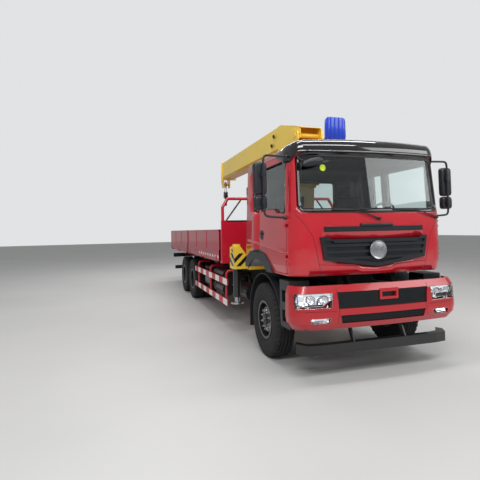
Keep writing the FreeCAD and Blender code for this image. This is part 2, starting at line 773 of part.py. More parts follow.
# The door's arch edge is bevelled inside, so that it swings clear: depths from the widest side
BEVEL_DEEP, BEVEL_SHALLOW, BEVEL_SET_BACK = 160, 20, 32


def door_bevel(side):
    half, gap = float(s.cab_half_width), float(s.door_gap)
    y, z = float(front_axle_y + s.arch_behind), float(s.arch_height)
    narrow, top = float(s.trim_radius) + gap, float(s.trim_top) + gap
    cone = Part.makeCone(narrow + BEVEL_SET_BACK, narrow, BEVEL_DEEP - BEVEL_SHALLOW,
                         V((half - BEVEL_DEEP) * side, y, z), V(side, 0, 0))
    return cone.common(Part.makeBox(2 * half, 2000, top, V(-half, y - 2000, 0)))


def screen_prism(shrink, y0, y1):
    half = float(s.screen_half_width) - shrink
    low, high = float(s.cab_waist) + 15 + shrink, float(s.cab_screen_top) - 20 - shrink
    points = [(-half, low), (half, low), (half - 25, high), (-half + 25, high)]
    return rounded_prism(points, "y", y0, y1, 90)


def door_outline(shrink):
    """Side view of the door: upright rectangle whose lower rear follows the arch."""
    y0 = float(front_axle_y - s.door_front_ahead) + shrink
    y1 = float(front_axle_y + s.door_rear_behind) - shrink
    low, high = float(s.cab_floor) + 25 + shrink, float(s.cab_screen_top) - 5 - shrink
    return y0, y1, low, high


def door_prism(side, shrink):
    y0, y1, low, high = door_outline(shrink)
    half = float(s.cab_half_width)
    reach = 40 + float(s.cab_wall) + float(s.cab_taper)
    x0, x1 = (half - reach, half + 60) if side > 0 else (-half - 60, -half + reach)
    block = rounded_prism([(y0, low), (y1, low), (y1, high), (y0, high)], "x", x0, x1, 40)
    return block.cut(trim_prism(x0 - 1, x1 + 1, shrink))


def side_window(side, kind, shrink, x0, x1):
    sill, top = float(s.sill_height) + shrink, float(s.side_glass_top) - shrink
    if kind == "door":
        y0 = float(front_axle_y - s.door_front_ahead) + 75 + shrink
        y1 = float(front_axle_y + s.door_rear_behind) - 70 - shrink
        points = [(y0, sill - 60), (y0 + 230, sill - 60), (y0 + 330, sill), (y1, sill), (y1, top), (y0, top)]
    else:
        y0 = float(front_axle_y + s.door_rear_behind) + 60 + shrink
        y1 = float(cab_back_y) - 330 - shrink
        points = [(y0, sill), (y1 - 50, sill), (y1, sill + 130), (y1, top), (y0, top)]
    return rounded_prism(points, "x", x0, x1, 30)


def rear_window(shrink, y0, y1):
    """Two panes' opening in the cab's rear wall."""
    low, high = float(s.sill_height) + 60 + shrink, float(s.side_glass_top) - 60 - shrink
    panes = []
    for side in (-1, 1):
        a, b = sorted((side * (430 + shrink), side * (900 - shrink)))
        panes.append(rounded_prism([(a, low), (b, low), (b, high), (a, high)], "y", y0, y1, 50))
    return panes


def grille_outline(grow):
    """Main grille: wide top, slanted ends, shallow V at the bottom."""
    half = float(s.grille_half_width) + grow
    top, low = float(s.grille_top) + grow, float(s.grille_bottom) - grow
    return [(-half + 50, low + 100), (0, low), (half - 50, low + 100), (half, top), (half - 110, top),
            (half - 140, top - 28), (-half + 140, top - 28), (-half + 110, top), (-half, top)]


wall = float(s.cab_wall)
outer = cab_solid(0)
room = cab_solid(wall, float(s.cab_floor + s.cab_floor_thickness), float(s.cab_roof) - 46)
hollow = outer.cut(room)
nose_y = float(front_axle_y - s.cab_nose)
half = float(s.cab_half_width)
gap = float(s.door_gap)
WELL_WIDTH = 330.0
WELL_WALL = 30.0
window_tools = [screen_prism(0, nose_y - 100, nose_y + 480)] + rear_window(0, float(cab_back_y) - wall - 20,
                                                                           float(cab_back_y) + 20)
for name, side in SIDES:
    x0, x1 = (half - 190, half + 60) if side > 0 else (-half - 60, -half + 190)
    window_tools.append(side_window(side, "quarter", 0, x0, x1))
grille_pocket = rounded_prism(grille_outline(4), "y", nose_y - 60, nose_y + 8 + float(s.grille_depth), 0)
shell_cuts = [door_prism(side, 0) for name, side in SIDES]
arm_x = s.rail_half_width - 95
cab_arms = []
for name, side in SIDES:
    arm = plate("x", [
        (tilt_axis_y - 42, s.tilt_axis_height - 42), (tilt_axis_y + 42, s.tilt_axis_height - 42),
        (tilt_axis_y + 240, s.cab_floor + 1), (tilt_axis_y + 110, s.cab_floor + 1),
    ], *side_span(side, arm_x, arm_x + 45), rounds={0: 30, 1: 30})
    bore = rod("x", side_span(side, arm_x - 5, arm_x + 50), tilt_axis_y, s.tilt_axis_height,
               22 + s.running_gap)
    cab_arms.append(cut(arm, bore))
shell = hollow.cut(Part.makeCompound(window_tools + [grille_pocket] + shell_cuts))


def wheel_well(side):
    """Tunnel over the wheel, inside the cab's side: outer block and the hollow in it."""
    inner = half - WELL_WIDTH
    keep = Part.makeBox(2 * half, 1500, 400, V(-half, float(cab_back_y) - 1500, float(s.cab_floor)))
    x0, x1 = (inner, half - 20) if side > 0 else (-half + 20, -inner)
    block = arch_prism(x0, x1, WELL_WALL).common(keep)
    x0, x1 = (inner + WELL_WALL, half + 50) if side > 0 else (-half - 50, -inner - WELL_WALL)
    return block, arch_prism(x0, x1, 0)


for name, side in SIDES:
    block, hollow_part = wheel_well(side)
    shell = shell.fuse(block).cut(hollow_part)


def arch_trim(side):
    """Dark band on the cab side round the wheel arch."""
    proud = float(s.trim_proud)
    x0, x1 = (half - 60, half + proud) if side > 0 else (-half - proud, -half + 60)
    band = trim_prism(x0, x1, -2).cut(arch_prism(x0 - 1, x1 + 1, 0))
    keep = Part.makeBox(x1 - x0, 1600, 400, V(x0, float(cab_back_y) - 1600, float(s.cab_floor)))
    band = band.common(keep).cut(outer)
    return max(band.Solids, key=lambda body: body.Volume)


door_axis_x = half + float(s.door_hinge_out)
door_axis_y = float(front_axle_y - s.door_front_ahead) + gap / 2
DOOR_HINGES = (1500, 1890)


def door_hinge(side):
    """Door knuckles and their bore, and the cab's knuckles with the pin."""
    x, y = door_axis_x * side, door_axis_y
    inner = x - 50 * side
    slack = float(s.running_gap)
    door_pieces, bores, cab_pieces = [], [], []
    for z in DOOR_HINGES:
        door_pieces.append(Part.makeCylinder(9, 40, V(x, y, z - 20)))
        door_pieces.append(Part.makeBox(50, 40, 40, V(min(x, inner), y + 4, z - 20)))
        bores.append(Part.makeCylinder(HINGE_PIN + slack, 42, V(x, y, z - 21)))
        for low in (z - 50 - slack, z + 20 + slack):
            cab_pieces.append(Part.makeCylinder(9, 30, V(x, y, low)))
            cab_pieces.append(Part.makeBox(50, 40, 30, V(min(x, inner), y - 44, low)))
            cab_pieces.append(Part.makeBox(9, 5, 30, V(x - (9 if side > 0 else 0), y - 5, low)))
        door_pieces.append(Part.makeBox(9, 5, 40, V(x - (9 if side > 0 else 0), y, z - 20)))
        cab_pieces.append(Part.makeCylinder(HINGE_PIN, 100 + 2 * slack, V(x, y, z - 50 - slack)))
    return door_pieces, Part.makeCompound(bores), cab_pieces


cab_hinges = []
for name, side in SIDES:
    cab_hinges += door_hinge(side)[2]
sub_part("cab_shell", fuse(solid(shell.multiFuse(cab_hinges)), *cab_arms))
sub_part("arch_trims", solid(Part.makeCompound([arch_trim(side) for name, side in SIDES])))

for name, side in SIDES:
    leaf = hollow.common(door_prism(side, gap)).cut(door_bevel(side))
    x0, x1 = (half - 190, half + 60) if side > 0 else (-half - 60, -half + 190)
    leaf = leaf.cut(side_window(side, "door", 0, x0, x1))
    leaf = max(leaf.Solids, key=lambda body: body.Volume)
    hinge_pieces, hinge_bores, rest = door_hinge(side)
    sub_part("door_%s" % name, solid(leaf.multiFuse(hinge_pieces).cut(hinge_bores)))

glass = float(s.glass_thickness)
glass_skin = cab_solid(18).cut(cab_solid(18 + glass))
for name, side in SIDES:
    x0, x1 = (half - 190, half + 60) if side > 0 else (-half - 60, -half + 190)
    pane = glass_skin.common(side_window(side, "door", 0.3, x0, x1))
    sub_part("door_glass_%s" % name, solid(max(pane.Solids, key=lambda body: body.Volume)))
panes = [glass_skin.common(screen_prism(0.3, nose_y - 100, nose_y + 480))]
panes += [glass_skin.common(p) for p in rear_window(0.3, float(cab_back_y) - wall - 20, float(cab_back_y) + 20)]
for name, side in SIDES:
    x0, x1 = (half - 190, half + 60) if side > 0 else (-half - 60, -half + 190)
    panes.append(glass_skin.common(side_window(side, "quarter", 0.3, x0, x1)))
pane_solids = [max(p.Solids, key=lambda body: body.Volume) for p in panes]
sub_part("cab_glass", solid(Part.makeCompound(pane_solids)))


# Gloss visor over the windscreen, following the cab's plan curve
def roof_visor():
    proud = float(s.visor_thickness)
    low = float(s.cab_screen_top) - 8
    high = float(s.cab_roof) + 50
    nose = nose_y + float(s.screen_rake)
    bulge = float(s.cab_bulge)
    corner = float(s.cab_corner)
    width = half - float(s.cab_taper)
    back = float(front_axle_y) - 560
    wide = width + 25
    rows = (
        # height, half width, nose y
        (low, wide, nose - proud * 0.6),
        (low + 60, wide, nose - proud),
        (float(s.cab_roof) - 20, wide, nose - proud * 0.5 + 30),
        (high, width - 60, nose + 110),
    )
    skin = Part.makeLoft([plan_section(z, w, y, bulge, corner, back) for z, w, y in rows], True, True)
    return skin.cut(cab_solid(-0.4))


sub_part("roof_visor", solid(max(roof_visor().Solids, key=lambda body: body.Volume)))


# Main grille: frame, three bars and a plain round boss
def front_grille():
    front = nose_y - 4
    back = nose_y + 8 + float(s.grille_depth)
    frame = rounded_prism(grille_outline(0), "y", front, back, 0)
    hole = rounded_prism(grille_outline(-45), "y", front - 1, back - 12, 0)
    frame = frame.cut(hole)
    bars = []
    top, low = float(s.grille_top), float(s.grille_bottom)
    spacing = (top - low - 60) / 4
    for i in range(3):
        z = top - 60 - spacing * (i + 0.55)
        width = float(s.grille_half_width) - 30
        bar = Part.makeBox(2 * width, 24, 34, V(-width, front + 6, z - 17))
        bars.append(bar.common(rounded_prism(grille_outline(-30), "y", front - 1, back, 0)))
    boss = Part.makeCylinder(118, back - front + 6, V(0, front - 6, (top + low) / 2 + 20), V(0, 1, 0))
    return frame.multiFuse(bars + [boss])


sub_part("front_grille", solid(front_grille().common(cab_solid(-30))))


# Dashboard with steering column and wheel, driver on the left
def dashboard():
    y = nose_y
    inside = half - wall - 30
    top = float(s.cab_waist) - 40
    points = [(y + 100, top - 260), (y + 420, top - 260), (y + 520, top - 120), (y + 480, top),
              (y + 240, top + 20), (y + 100, top - 30)]
    desk = rounded_prism(points, "x", -inside, inside, 25).common(cab_solid(wall + 0.5))
    centre = V(520, float(front_axle_y) - 480, top + 60)
    lean = V(0, 0.62, 0.78)
    column = Part.makeCylinder(32, 330, centre - lean * 330, lean)
    ring = Part.makeTorus(225, 15, centre, lean)
    hub = Part.makeCylinder(70, 30, centre - lean * 15, lean)
    spoke = Part.makeBox(440, 34, 14, V(-220, -17, -7))
    spoke.Placement = FreeCAD.Placement(centre, FreeCAD.Rotation(V(0, 0, 1), lean))
    return desk.multiFuse([column, ring, hub, spoke])


sub_part("dashboard", solid(dashboard()))


# Two seats on their boxes, cushion and back
def cab_seat(x):
    y = float(front_axle_y)
    floor = float(s.cab_floor + s.cab_floor_thickness)
    base = rounded_prism([(x - 200, y - 60), (x + 200, y - 60), (x + 200, y + 330), (x - 200, y + 330)],
                         "z", floor, floor + 330, 30)
    cushion = rounded_prism([(x - 250, y - 130), (x + 250, y - 130), (x + 250, y + 370), (x - 250, y + 370)],
                            "z", floor + 330, floor + 460, 60)
    back = rounded_prism([(y + 300, floor + 460), (y + 400, floor + 460), (y + 500, floor + 1080),
                          (y + 410, floor + 1080)], "x", x - 240, x + 240, 30)
    rest = rounded_prism([(y + 425, floor + 1080), (y + 500, floor + 1080), (y + 520, floor + 1250),
                          (y + 445, floor + 1250)], "x", x - 130, x + 130, 20)
    return base.multiFuse([cushion, back, rest])


sub_part("cab_seats", solid(Part.makeCompound([cab_seat(520), cab_seat(-520)])))


# Door mirrors: housing on a bent tube that stands off the door
def mirror(side):
    y = float(front_axle_y) - 800
    out = float(s.mirror_out)
    width = float(s.mirror_width) / 2
    top, low = float(s.mirror_top), float(s.mirror_bottom)
    split = low + 115
    heads = []
    for z0, z1 in ((low, split - 12), (split, top)):
        head = rounded_prism([(out - width, y - 45), (out + width, y - 45), (out + width, y + 40),
                              (out - width, y + 40)], "z", z0, z1, 30)
        heads.append(head)
    tube_y = y - 66
    skin = half - 40
    path = [(skin, tube_y + 10, top + 75), (out - 120, tube_y, top + 75), (out - 20, tube_y, top + 20),
            (out - 20, tube_y, low - 20), (out - 90, tube_y, low - 80), (skin + 22, tube_y + 10, low - 105)]
    tube = tube_path(path, 17)
    outside = cab_solid(0.0)
    tube = tube.cut(outside)
    clamps = [Part.makeBox(60, 60, 90, V(out - 50, y - 86, z)) for z in (low + 30, top - 220)]
    whole = heads[0].multiFuse(heads[1:] + [tube] + clamps)
    if side < 0:
        whole = whole.mirror(V(0, 0, 0), V(1, 0, 0))
    return whole


for name, side in SIDES:
    sub_part("mirror_%s" % name, solid(mirror(side)))


# Front bumper: lofted shell with openings for lamps, grille and intake
def bumper_solid(inset):
    front = float(front_axle_y - s.front_overhang)
    half_w = float(s.bumper_half_width)
    low, high = float(s.bumper_bottom), float(s.bumper_top)
    rows = (
        # height, half width, front y
        (low, half_w - 70, front + 60),
        (low + 85, half_w - 12, front + 12),
        (low + 170, half_w, front),
        (high - 90, half_w - 8, front + 6),
        (high, half_w - 40, front + 50),
    )
    back = float(front_axle_y - s.bumper_back) + (0 if inset == 0 else 60)
    corner = float(s.bumper_corner)
    wires = [plan_section(z, w - inset, y + inset, float(s.bumper_bulge), corner - inset, back)
             for z, w, y in rows]
    return Part.makeLoft(wires, True, True)


bumper_front = float(front_axle_y - s.front_overhang)


def front_prism(points, radius=0.0):
    return rounded_prism(points, "y", bumper_front - 50, bumper_front + 330, radius)


def lamp_outline(side, shrink):
    """Headlamp: outer end wraps the corner, inner end slants."""
    inner, out = 730 + shrink, 1185
    z0, z1 = 885 + shrink, 1065 - shrink
    return [(side * inner, z0), (side * out, z0), (side * out, z1), (side * (inner - 15), z1)]


def fog_outline(side, shrink):
    return [(side * (760 + shrink), 700 + shrink), (side * (1010 - shrink), 700 + shrink),
            (side * (1010 - shrink), 765 - shrink), (side * (745 + shrink), 765 - shrink)]


def mesh_outline(shrink):
    return [(-640 + shrink, 868 + shrink), (640 - shrink, 868 + shrink), (665 - shrink, 1070 - shrink),
            (-665 + shrink, 1070 - shrink)]


def intake_outline(shrink):
    return [(-600 + shrink, 690 + shrink), (600 - shrink, 690 + shrink), (625 - shrink, 790 - shrink),
            (-625 + shrink, 790 - shrink)]


def bumper():
    shell = bumper_solid(0).cut(bumper_solid(float(s.bumper_wall)))
    tools = [front_prism(mesh_outline(0)), front_prism(intake_outline(0))]
    for name, side in SIDES:
        tools.append(front_prism(lamp_outline(side, 0)))
        tools.append(front_prism(fog_outline(side, 0)))
    shell = shell.cut(Part.makeCompound(tools))
    stays = []
    for name, side in SIDES:
        x0 = side * 400 - 25
        stays.append(Part.makeBox(50, float(rail_front_y) - bumper_front - 40.3, 62,
                                  V(x0, bumper_front + 40, 800)))
    return shell.multiFuse(stays + [tow_frame()])


def tow_frame(slot=True):
    """Rectangular frame that hangs in the middle of the upper opening."""
    block = Part.makeBox(270, 38, 135, V(-75, bumper_front + 4, 950))
    if slot:
        block = block.cut(Part.makeBox(206, 60, 62, V(-43, bumper_front - 8, 982)))
    return block


sub_part("bumper", solid(bumper()))


def bumper_grilles():
    """Recessed dark panels behind the two openings, with the tow frame's slots."""
    layer = bumper_solid(18).cut(bumper_solid(float(s.bumper_wall) + 4))
    pieces = []
    for outline in (mesh_outline(0.3), intake_outline(0.3)):
        panel = layer.common(front_prism(outline)).cut(tow_frame(slot=False))
        pieces.append(max(panel.Solids, key=lambda body: body.Volume))
    return Part.makeCompound(pieces)


sub_part("bumper_grilles", solid(bumper_grilles()))


def front_lamps():
    layer = bumper_solid(3).cut(bumper_solid(float(s.bumper_wall) + 25))
    pieces = []
    for name, side in SIDES:
        for outline in (lamp_outline(side, 0.3), fog_outline(side, 0.3)):
            lens = layer.common(front_prism(outline))
            pieces.append(max(lens.Solids, key=lambda body: body.Volume))
    return Part.makeCompound(pieces)


sub_part("front_lamps", solid(front_lamps()))


# Front mudguards: curved liner over the wheel and the step box ahead of it
def front_mudguard(side):
    y = float(front_axle_y)
    z = float(s.tyre_radius)
    inner_x, outer_x = 470.0, 1150.0
    x0, x1 = (inner_x, outer_x) if side > 0 else (-outer_x, -inner_x)
    skin = Part.makeCylinder(672, x1 - x0, V(x0, y, z), V(1, 0, 0)).cut(
        Part.makeCylinder(662, x1 - x0 + 2, V(x0 - 1, y, z), V(1, 0, 0)))
    keep = Part.makeBox(x1 - x0, 1400, 720, V(x0, y - 700, z + 30))
    liner = skin.common(keep)
    flap = Part.makeBox(x1 - x0, 10, 260, V(x0, y + 661, z + 32 - 260))
    sx0, sx1 = (880.0, 1160.0) if side > 0 else (-1160.0, -880.0)
    steps = Part.makeBox(sx1 - sx0, 300, 600, V(sx0, y - 950, z + 60))
    steps = steps.cut(Part.makeCylinder(671, sx1 - sx0 + 2, V(sx0 - 1, y, z), V(1, 0, 0)))
    treads = []
    for low in (z + 130, z + 380):
        treads.append(Part.makeBox(sx1 - sx0 + 2, 180, 150, V(sx0 + (80 if side > 0 else -82), y - 900, low)))
    steps = steps.cut(Part.makeCompound(treads))
    rail_x, grip_x = float(s.rail_half_width), inner_x + 60
    stay_x0, stay_x1 = (rail_x, grip_x) if side > 0 else (-grip_x, -rail_x)
    stays = [Part.makeBox(stay_x1 - stay_x0, 110, 60, V(stay_x0, y + off, z + 350)) for off in (-650, 540)]
    stays = [stay.cut(Part.makeCylinder(661, 1200, V(min(stay_x0, stay_x1) - 5, y, z), V(1, 0, 0)))
             for stay in stays]
    return liner.multiFuse([flap, steps] + stays)


mudguards = [front_mudguard(side) for name, side in SIDES]
sub_part("front_mudguards", solid(Part.makeCompound(mudguards)))


# Crane base: pedestal on the frame and the outrigger housing across it
beam_low = s.beam_bottom + s.beam_wall
beam_high = beam_low + s.beam_height
housing_top = beam_high + s.beam_wall
lane = s.beam_width + 2 * s.running_gap
housing_front = slew_y + 100 - lane - s.beam_wall
housing_rear = slew_y + 100 + lane + s.beam_wall
housing_mid = slew_y + 100
HOUSING_HALF = 940


def beam_lane(name):
    """Y range of the outrigger lane in the housing; left runs ahead, right behind."""
    if name == "left":
        return (housing_mid - 2 - s.beam_width - s.running_gap, housing_mid - 2 - s.running_gap)
    return (housing_mid + 2 + s.running_gap, housing_mid + 2 + s.beam_width + s.running_gap)


def crane_base():
    housing = box((-HOUSING_HALF, HOUSING_HALF), (housing_front, housing_rear), (s.beam_bottom, housing_top))
    lanes = []
    for name, side in SIDES:
        low, high = beam_lane(name)
        lanes.append(box((-HOUSING_HALF - 1, HOUSING_HALF + 1), (low - s.running_gap, high + s.running_gap),
                         (beam_low - s.running_gap, beam_high + s.running_gap)))
    housing = cut(housing, *lanes)
    feet = []
    for name, side in SIDES:
        feet.append(box(side_span(side, s.rail_half_width - 100, s.rail_half_width),
                        (slew_y - 420, bed_front_y - 40), (s.rail_top, s.beam_bottom)))
    pedestal = plate("y", [(-360, housing_top), (360, housing_top), (300, s.crane_base_top - 60),
                           (-300, s.crane_base_top - 60)], slew_y - 300, slew_y + 300)
    ring = rod("z", 0, slew_y, (s.crane_base_top - 61, s.crane_base_top), s.slew_ring_radius)
    return fuse(housing, *feet, pedestal, ring)


sub_part("crane_base", crane_base())


# Outriggers: sliding beam with the jack tube at its end, and the jack's rod and pad
def outrigger_beam(name, side):
    low, high = beam_lane(name)
    beam = box(side_span(side, -700, s.jack_out - s.jack_radius + 12), (low, high), (beam_low, beam_high))
    jack_y = housing_mid
    jack_top = housing_top + 200
    tube = rod("z", s.jack_out * side, jack_y, (s.jack_bottom, jack_top), s.jack_radius)
    cheeks = plate("y", [
        ((s.jack_out - s.jack_radius - 90) * side, beam_low), ((s.jack_out + 85) * side, beam_low),
        ((s.jack_out + 85) * side, jack_top - 60), ((s.jack_out - 10) * side, jack_top - 10),
        ((s.jack_out - s.jack_radius - 90) * side, beam_high),
    ], jack_y - 155, jack_y + 155)
    window = box(side_span(side, s.jack_out - 400, s.jack_out + 200), (jack_y - 130, jack_y + 130),
                 (beam_low - 10, jack_top + 10))
    bore = rod("z", s.jack_out * side, jack_y, (s.jack_bottom - 1, jack_top - 20),
               s.jack_rod_radius + s.running_gap)
    band = box(side_span(side, s.jack_out - s.jack_radius - 40, s.jack_out + 85),
               (jack_y - 155, jack_y + 155), (beam_low, beam_low + 25))
    return cut(fuse(beam, cut(cheeks, window), tube, band), bore)


def jack_leg(side):
    x = s.jack_out * side
    leg = rod("z", x, housing_mid, (s.jack_pad_height + 20, housing_top + 100), s.jack_rod_radius)
    pad = rod("z", x, housing_mid, (s.jack_pad_height, s.jack_pad_height + 30), s.jack_pad_radius)
    return fuse(leg, pad)


for name, side in SIDES:
    sub_part("outrigger_beam_%s" % name, outrigger_beam(name, side))
    sub_part("jack_leg_%s" % name, jack_leg(side))


# Slewing column: turntable, box column and cheeks that lean away from the boom
pivot_y = slew_y - s.pivot_setback
luff_base_y = slew_y + s.luff_base_reach
luff_eye_y = slew_y + s.luff_eye_reach


def crane_column():
    base = s.crane_base_top + s.running_gap
    table = rod("z", 0, slew_y, (base, base + 60), s.slew_ring_radius)
    cheeks = []
    outside = s.column_half_width
    for name, side in SIDES:
        cheeks.append(plate("x", [
            (slew_y - 260, base + 55), (slew_y + 300, base + 55), (slew_y + 340, s.luff_base_height - 120),
            (slew_y + 360, s.luff_base_height + 90), (slew_y + 120, s.luff_base_height + 180),
            (pivot_y + 130, s.pivot_height + 130), (pivot_y - 120, s.pivot_height + 60),
            (pivot_y - 130, s.pivot_height - 90), (slew_y - 380, s.luff_base_height + 80),
        ], *side_span(side, outside - s.cheek_thickness, outside), rounds={5: 60, 6: 60, 7: 60}))
    web_half = outside - s.cheek_thickness + 1
    front_web = plate("x", [
        (slew_y - 262, base + 55), (slew_y - 230, base + 55), (slew_y - 350, s.luff_base_height + 60),
        (slew_y - 382, s.luff_base_height + 80),
    ], -web_half, web_half)
    rear_web = box((-web_half, web_half), (slew_y + 240, slew_y + 270), (base + 55, s.luff_base_height - 190))
    pin = rod("x", (-outside - 12, outside + 12), pivot_y, s.pivot_height, s.pivot_radius)
    luff_pin = rod("x", (-outside - 12, outside + 12), luff_base_y, s.luff_base_height, 38)
    return fuse(table, *cheeks, front_web, rear_web, pin, luff_pin)


column = sub_part("crane_column", crane_column())


# Winch drum between bearing plates, on the column's side away from the boom
def winch():
    y = slew_y - 440
    z = s.luff_base_height - 330
    plates = [box(side_span(side, 150, 170), (y - 110, slew_y - 325), (z - 110, z + 110)) for n, side in SIDES]
    drum = rod("x", (-150, 150), y, z, 70)
    flanges = [rod("x", side_span(side, 128, 149), y, z, 92) for n, side in SIDES]
    motor = rod("x", (169, 270), y, z, 60)
    return fuse(*plates, drum, *flanges, motor)


sub_part("winch", cut(winch(), column))


# Operator station: platform, pedestal and lever bank on the column's left
SEAT_X = 780
SEAT_BASE = 3450


def operator_station():
    y = slew_y
    floor_z = s.luff_base_height + 90
    floor = box((s.column_half_width, SEAT_X + 260), (y - 280, y + 330), (floor_z, floor_z + 30))
    strut = plate("y", [(s.column_half_width, floor_z - 130), (SEAT_X + 200, floor_z + 1),
                        (s.column_half_width, floor_z + 1)], y - 40, y + 40)
    stem = rod("z", SEAT_X, y, (floor_z + 29, SEAT_BASE), 55)
    console = box((340, 480), (y - 60, y + 140), (floor_z + 29, 3600))
    levers = [rod("z", 350 + 28 * i, y + 20, (3599, 3760), 8) for i in range(5)]
    return fuse(floor, strut, stem, console, *levers)


sub_part("operator_station", operator_station())


def operator_seat():
    """Bucket seat facing the boom, with a tall back."""
    y = slew_y
    pan = plate("z", [(SEAT_X - 225, y - 210), (SEAT_X + 225, y - 210), (SEAT_X + 225, y + 240),
                      (SEAT_X - 225, y + 240)], SEAT_BASE, SEAT_BASE + 90, rounds={0: 60, 1: 60, 2: 90, 3: 90})
    back = plate("x", [(y - 210, SEAT_BASE + 60), (y - 120, SEAT_BASE + 60), (y - 190, SEAT_BASE + 500),
                       (y - 280, SEAT_BASE + 500)], SEAT_X - 225, SEAT_X + 225, rounds={2: 40, 3: 40})
    return fuse(pan, back)


sub_part("operator_seat", operator_seat())


# Boom: outer section on the pivot and three sliding sections inside it
EYE_HALF = 50
boom_front = slew_y + s.boom_base_length
boom_low = s.boom_top - s.boom_depth


def section_box(level, start, end):
    """Six-sided hollow boom section; level 0 is the outer one."""
    inset = float(s.boom_wall + s.boom_step) * level
    half_w = float(s.boom_half_width) - inset
    top, low = float(s.boom_top) - inset, float(boom_low) + inset
    chamfer = 55.0

    def outline(shrink):
        w, t, b = half_w - shrink, top - shrink, low + shrink
        return [(-w + chamfer, b), (w - chamfer, b), (w, b + chamfer), (w, t), (-w, t), (-w, b + chamfer)]

    tube = rounded_prism(outline(0), "y", start, end, 0)
    return tube.cut(rounded_prism(outline(float(s.boom_wall)), "y", start - 1, end + 1, 0))


def collar(level, end):
    """Flange round the front end of a section."""
    inset = float(s.boom_wall + s.boom_step) * level
    half_w = float(s.boom_half_width) - inset
    top, low = float(s.boom_top) - inset, float(boom_low) + inset
    grow = 26.0
    ring = Part.makeBox(2 * (half_w + grow), 30, top - low + 2 * grow, V(-half_w - grow, end - 30, low - grow))
    hole = rounded_prism([(-half_w + 54, low + 1), (half_w - 54, low + 1), (half_w - 1, low + 56),
                          (half_w - 1, top - 1), (-half_w + 1, top - 1), (-half_w + 1, low + 56)],
                         "y", end - 31, end + 1, 0)
    return ring.cut(hole)


def boom_base():
    start = float(pivot_y) + 160
    end = float(boom_front)
    half_w = float(s.boom_half_width)
    tube = section_box(0, start, end)
    head = rounded_prism([
        (float(pivot_y) - 150, float(s.pivot_height) - 60), (start + 60, float(boom_low)),
        (start + 700, float(boom_low)), (start + 700, float(s.boom_top)), (start + 100, float(s.boom_top)),
        (float(pivot_y) - 60, float(s.pivot_height) + 150), (float(pivot_y) - 150, float(s.pivot_height) + 90),
    ], "x", -half_w - 12, half_w + 12, 0)
    inner = rounded_prism([
        (float(pivot_y) - 200, 3000), (start + 800, 3000), (start + 800, 4100), (float(pivot_y) - 200, 4100),
    ], "x", -half_w, half_w, 0)
    cheeks = head.cut(inner)
    tie = Part.makeBox(2 * half_w + 2, 40, 200, V(-half_w - 1, start - 30, float(s.pivot_height) + 60))
    bore = Part.makeCylinder(float(s.pivot_radius + s.running_gap), 600,
                             V(-300, float(pivot_y), float(s.pivot_height)), V(1, 0, 0))
    lugs = []
    for name, side in SIDES:
        x0 = EYE_HALF + 0.5 if side > 0 else -EYE_HALF - 24.5
        lug = rounded_prism([
            (float(luff_eye_y) - 130, float(boom_low) + 1), (float(luff_eye_y) - 50, float(s.luff_eye_height) - 55),
            (float(luff_eye_y) + 50, float(s.luff_eye_height) - 55), (float(luff_eye_y) + 130, float(boom_low) + 1),
        ], "x", x0, x0 + 24, 0)
        lugs.append(lug)
        lugs.append(Part.makeCylinder(32, 18, V(x0 + (24 if side > 0 else -18), float(luff_eye_y),
                                                float(s.luff_eye_height)), V(1, 0, 0)))
    whole = tube.multiFuse([cheeks, tie, collar(0, end)] + lugs)
    return whole.cut(bore)


sub_part("boom_base", solid(boom_base()))


def boom_section(level):
    """An inner section with slide pads at its tail and its front collar."""
    inset = float(s.boom_wall + s.boom_step) * level
    end = float(boom_front) + float(s.boom_collar) * level
    start = end - float(s.boom_stroke) - float(s.boom_overlap)
    half_w = float(s.boom_half_width) - inset
    low = float(boom_low) + inset
    tube = section_box(level, start, end)
    seat = float(s.boom_step) - float(s.running_gap)
    tail = Part.makeBox(2 * (half_w - 60), 200, seat + 1, V(-half_w + 60, start, low - seat))
    return tube, tail, end


for level in (1, 2):
    tube, tail_pad, end = boom_section(level)
    sub_part("boom_section_%d" % (level + 1), solid(tube.multiFuse([tail_pad, collar(level, end)])))


SHEAVE = 85.0
ROPE = 7.0


def tip_section():
    """Last section with the sheave head that hangs below its front."""
    tube, tail_pad, end = boom_section(3)
    low = float(boom_low)
    side_plate = [(end - 30, float(s.boom_top) - 110), (end + 120, float(s.boom_top) - 110),
                  (end + 230, float(s.boom_top) - 260), (end + 230, low - 60), (end + 120, low - 230),
                  (end - 60, low - 230), (end - 60, low + 60), (end - 30, low + 150)]
    plates = []
    for name, side in SIDES:
        x0 = side * 95 - 8
        plates.append(rounded_prism(side_plate, "x", x0, x0 + 16, 0))
    pins = []
    for y, z in ((end + 150, float(s.boom_top) - 210), (end + 110, low - 120)):
        pins.append(Part.makeCylinder(26, 206, V(-103, y, z), V(1, 0, 0)))
        pins.append(Part.makeCylinder(SHEAVE - ROPE - 0.4, 24, V(-12, y, z), V(1, 0, 0)))
        for x in (-20, 12):
            pins.append(Part.makeCylinder(SHEAVE + 9, 8, V(x, y, z), V(1, 0, 0)))
    lid = Part.makeBox(2 * 87, 20, 200, V(-87, end - 1, low + 130))
    return tube.multiFuse([tail_pad, collar(3, end), lid] + plates + pins)


sub_part("boom_section_4", solid(tip_section()))

hook_y = boom_front + s.boom_collar * 3 + 110
hook_pin_z = boom_low - 120


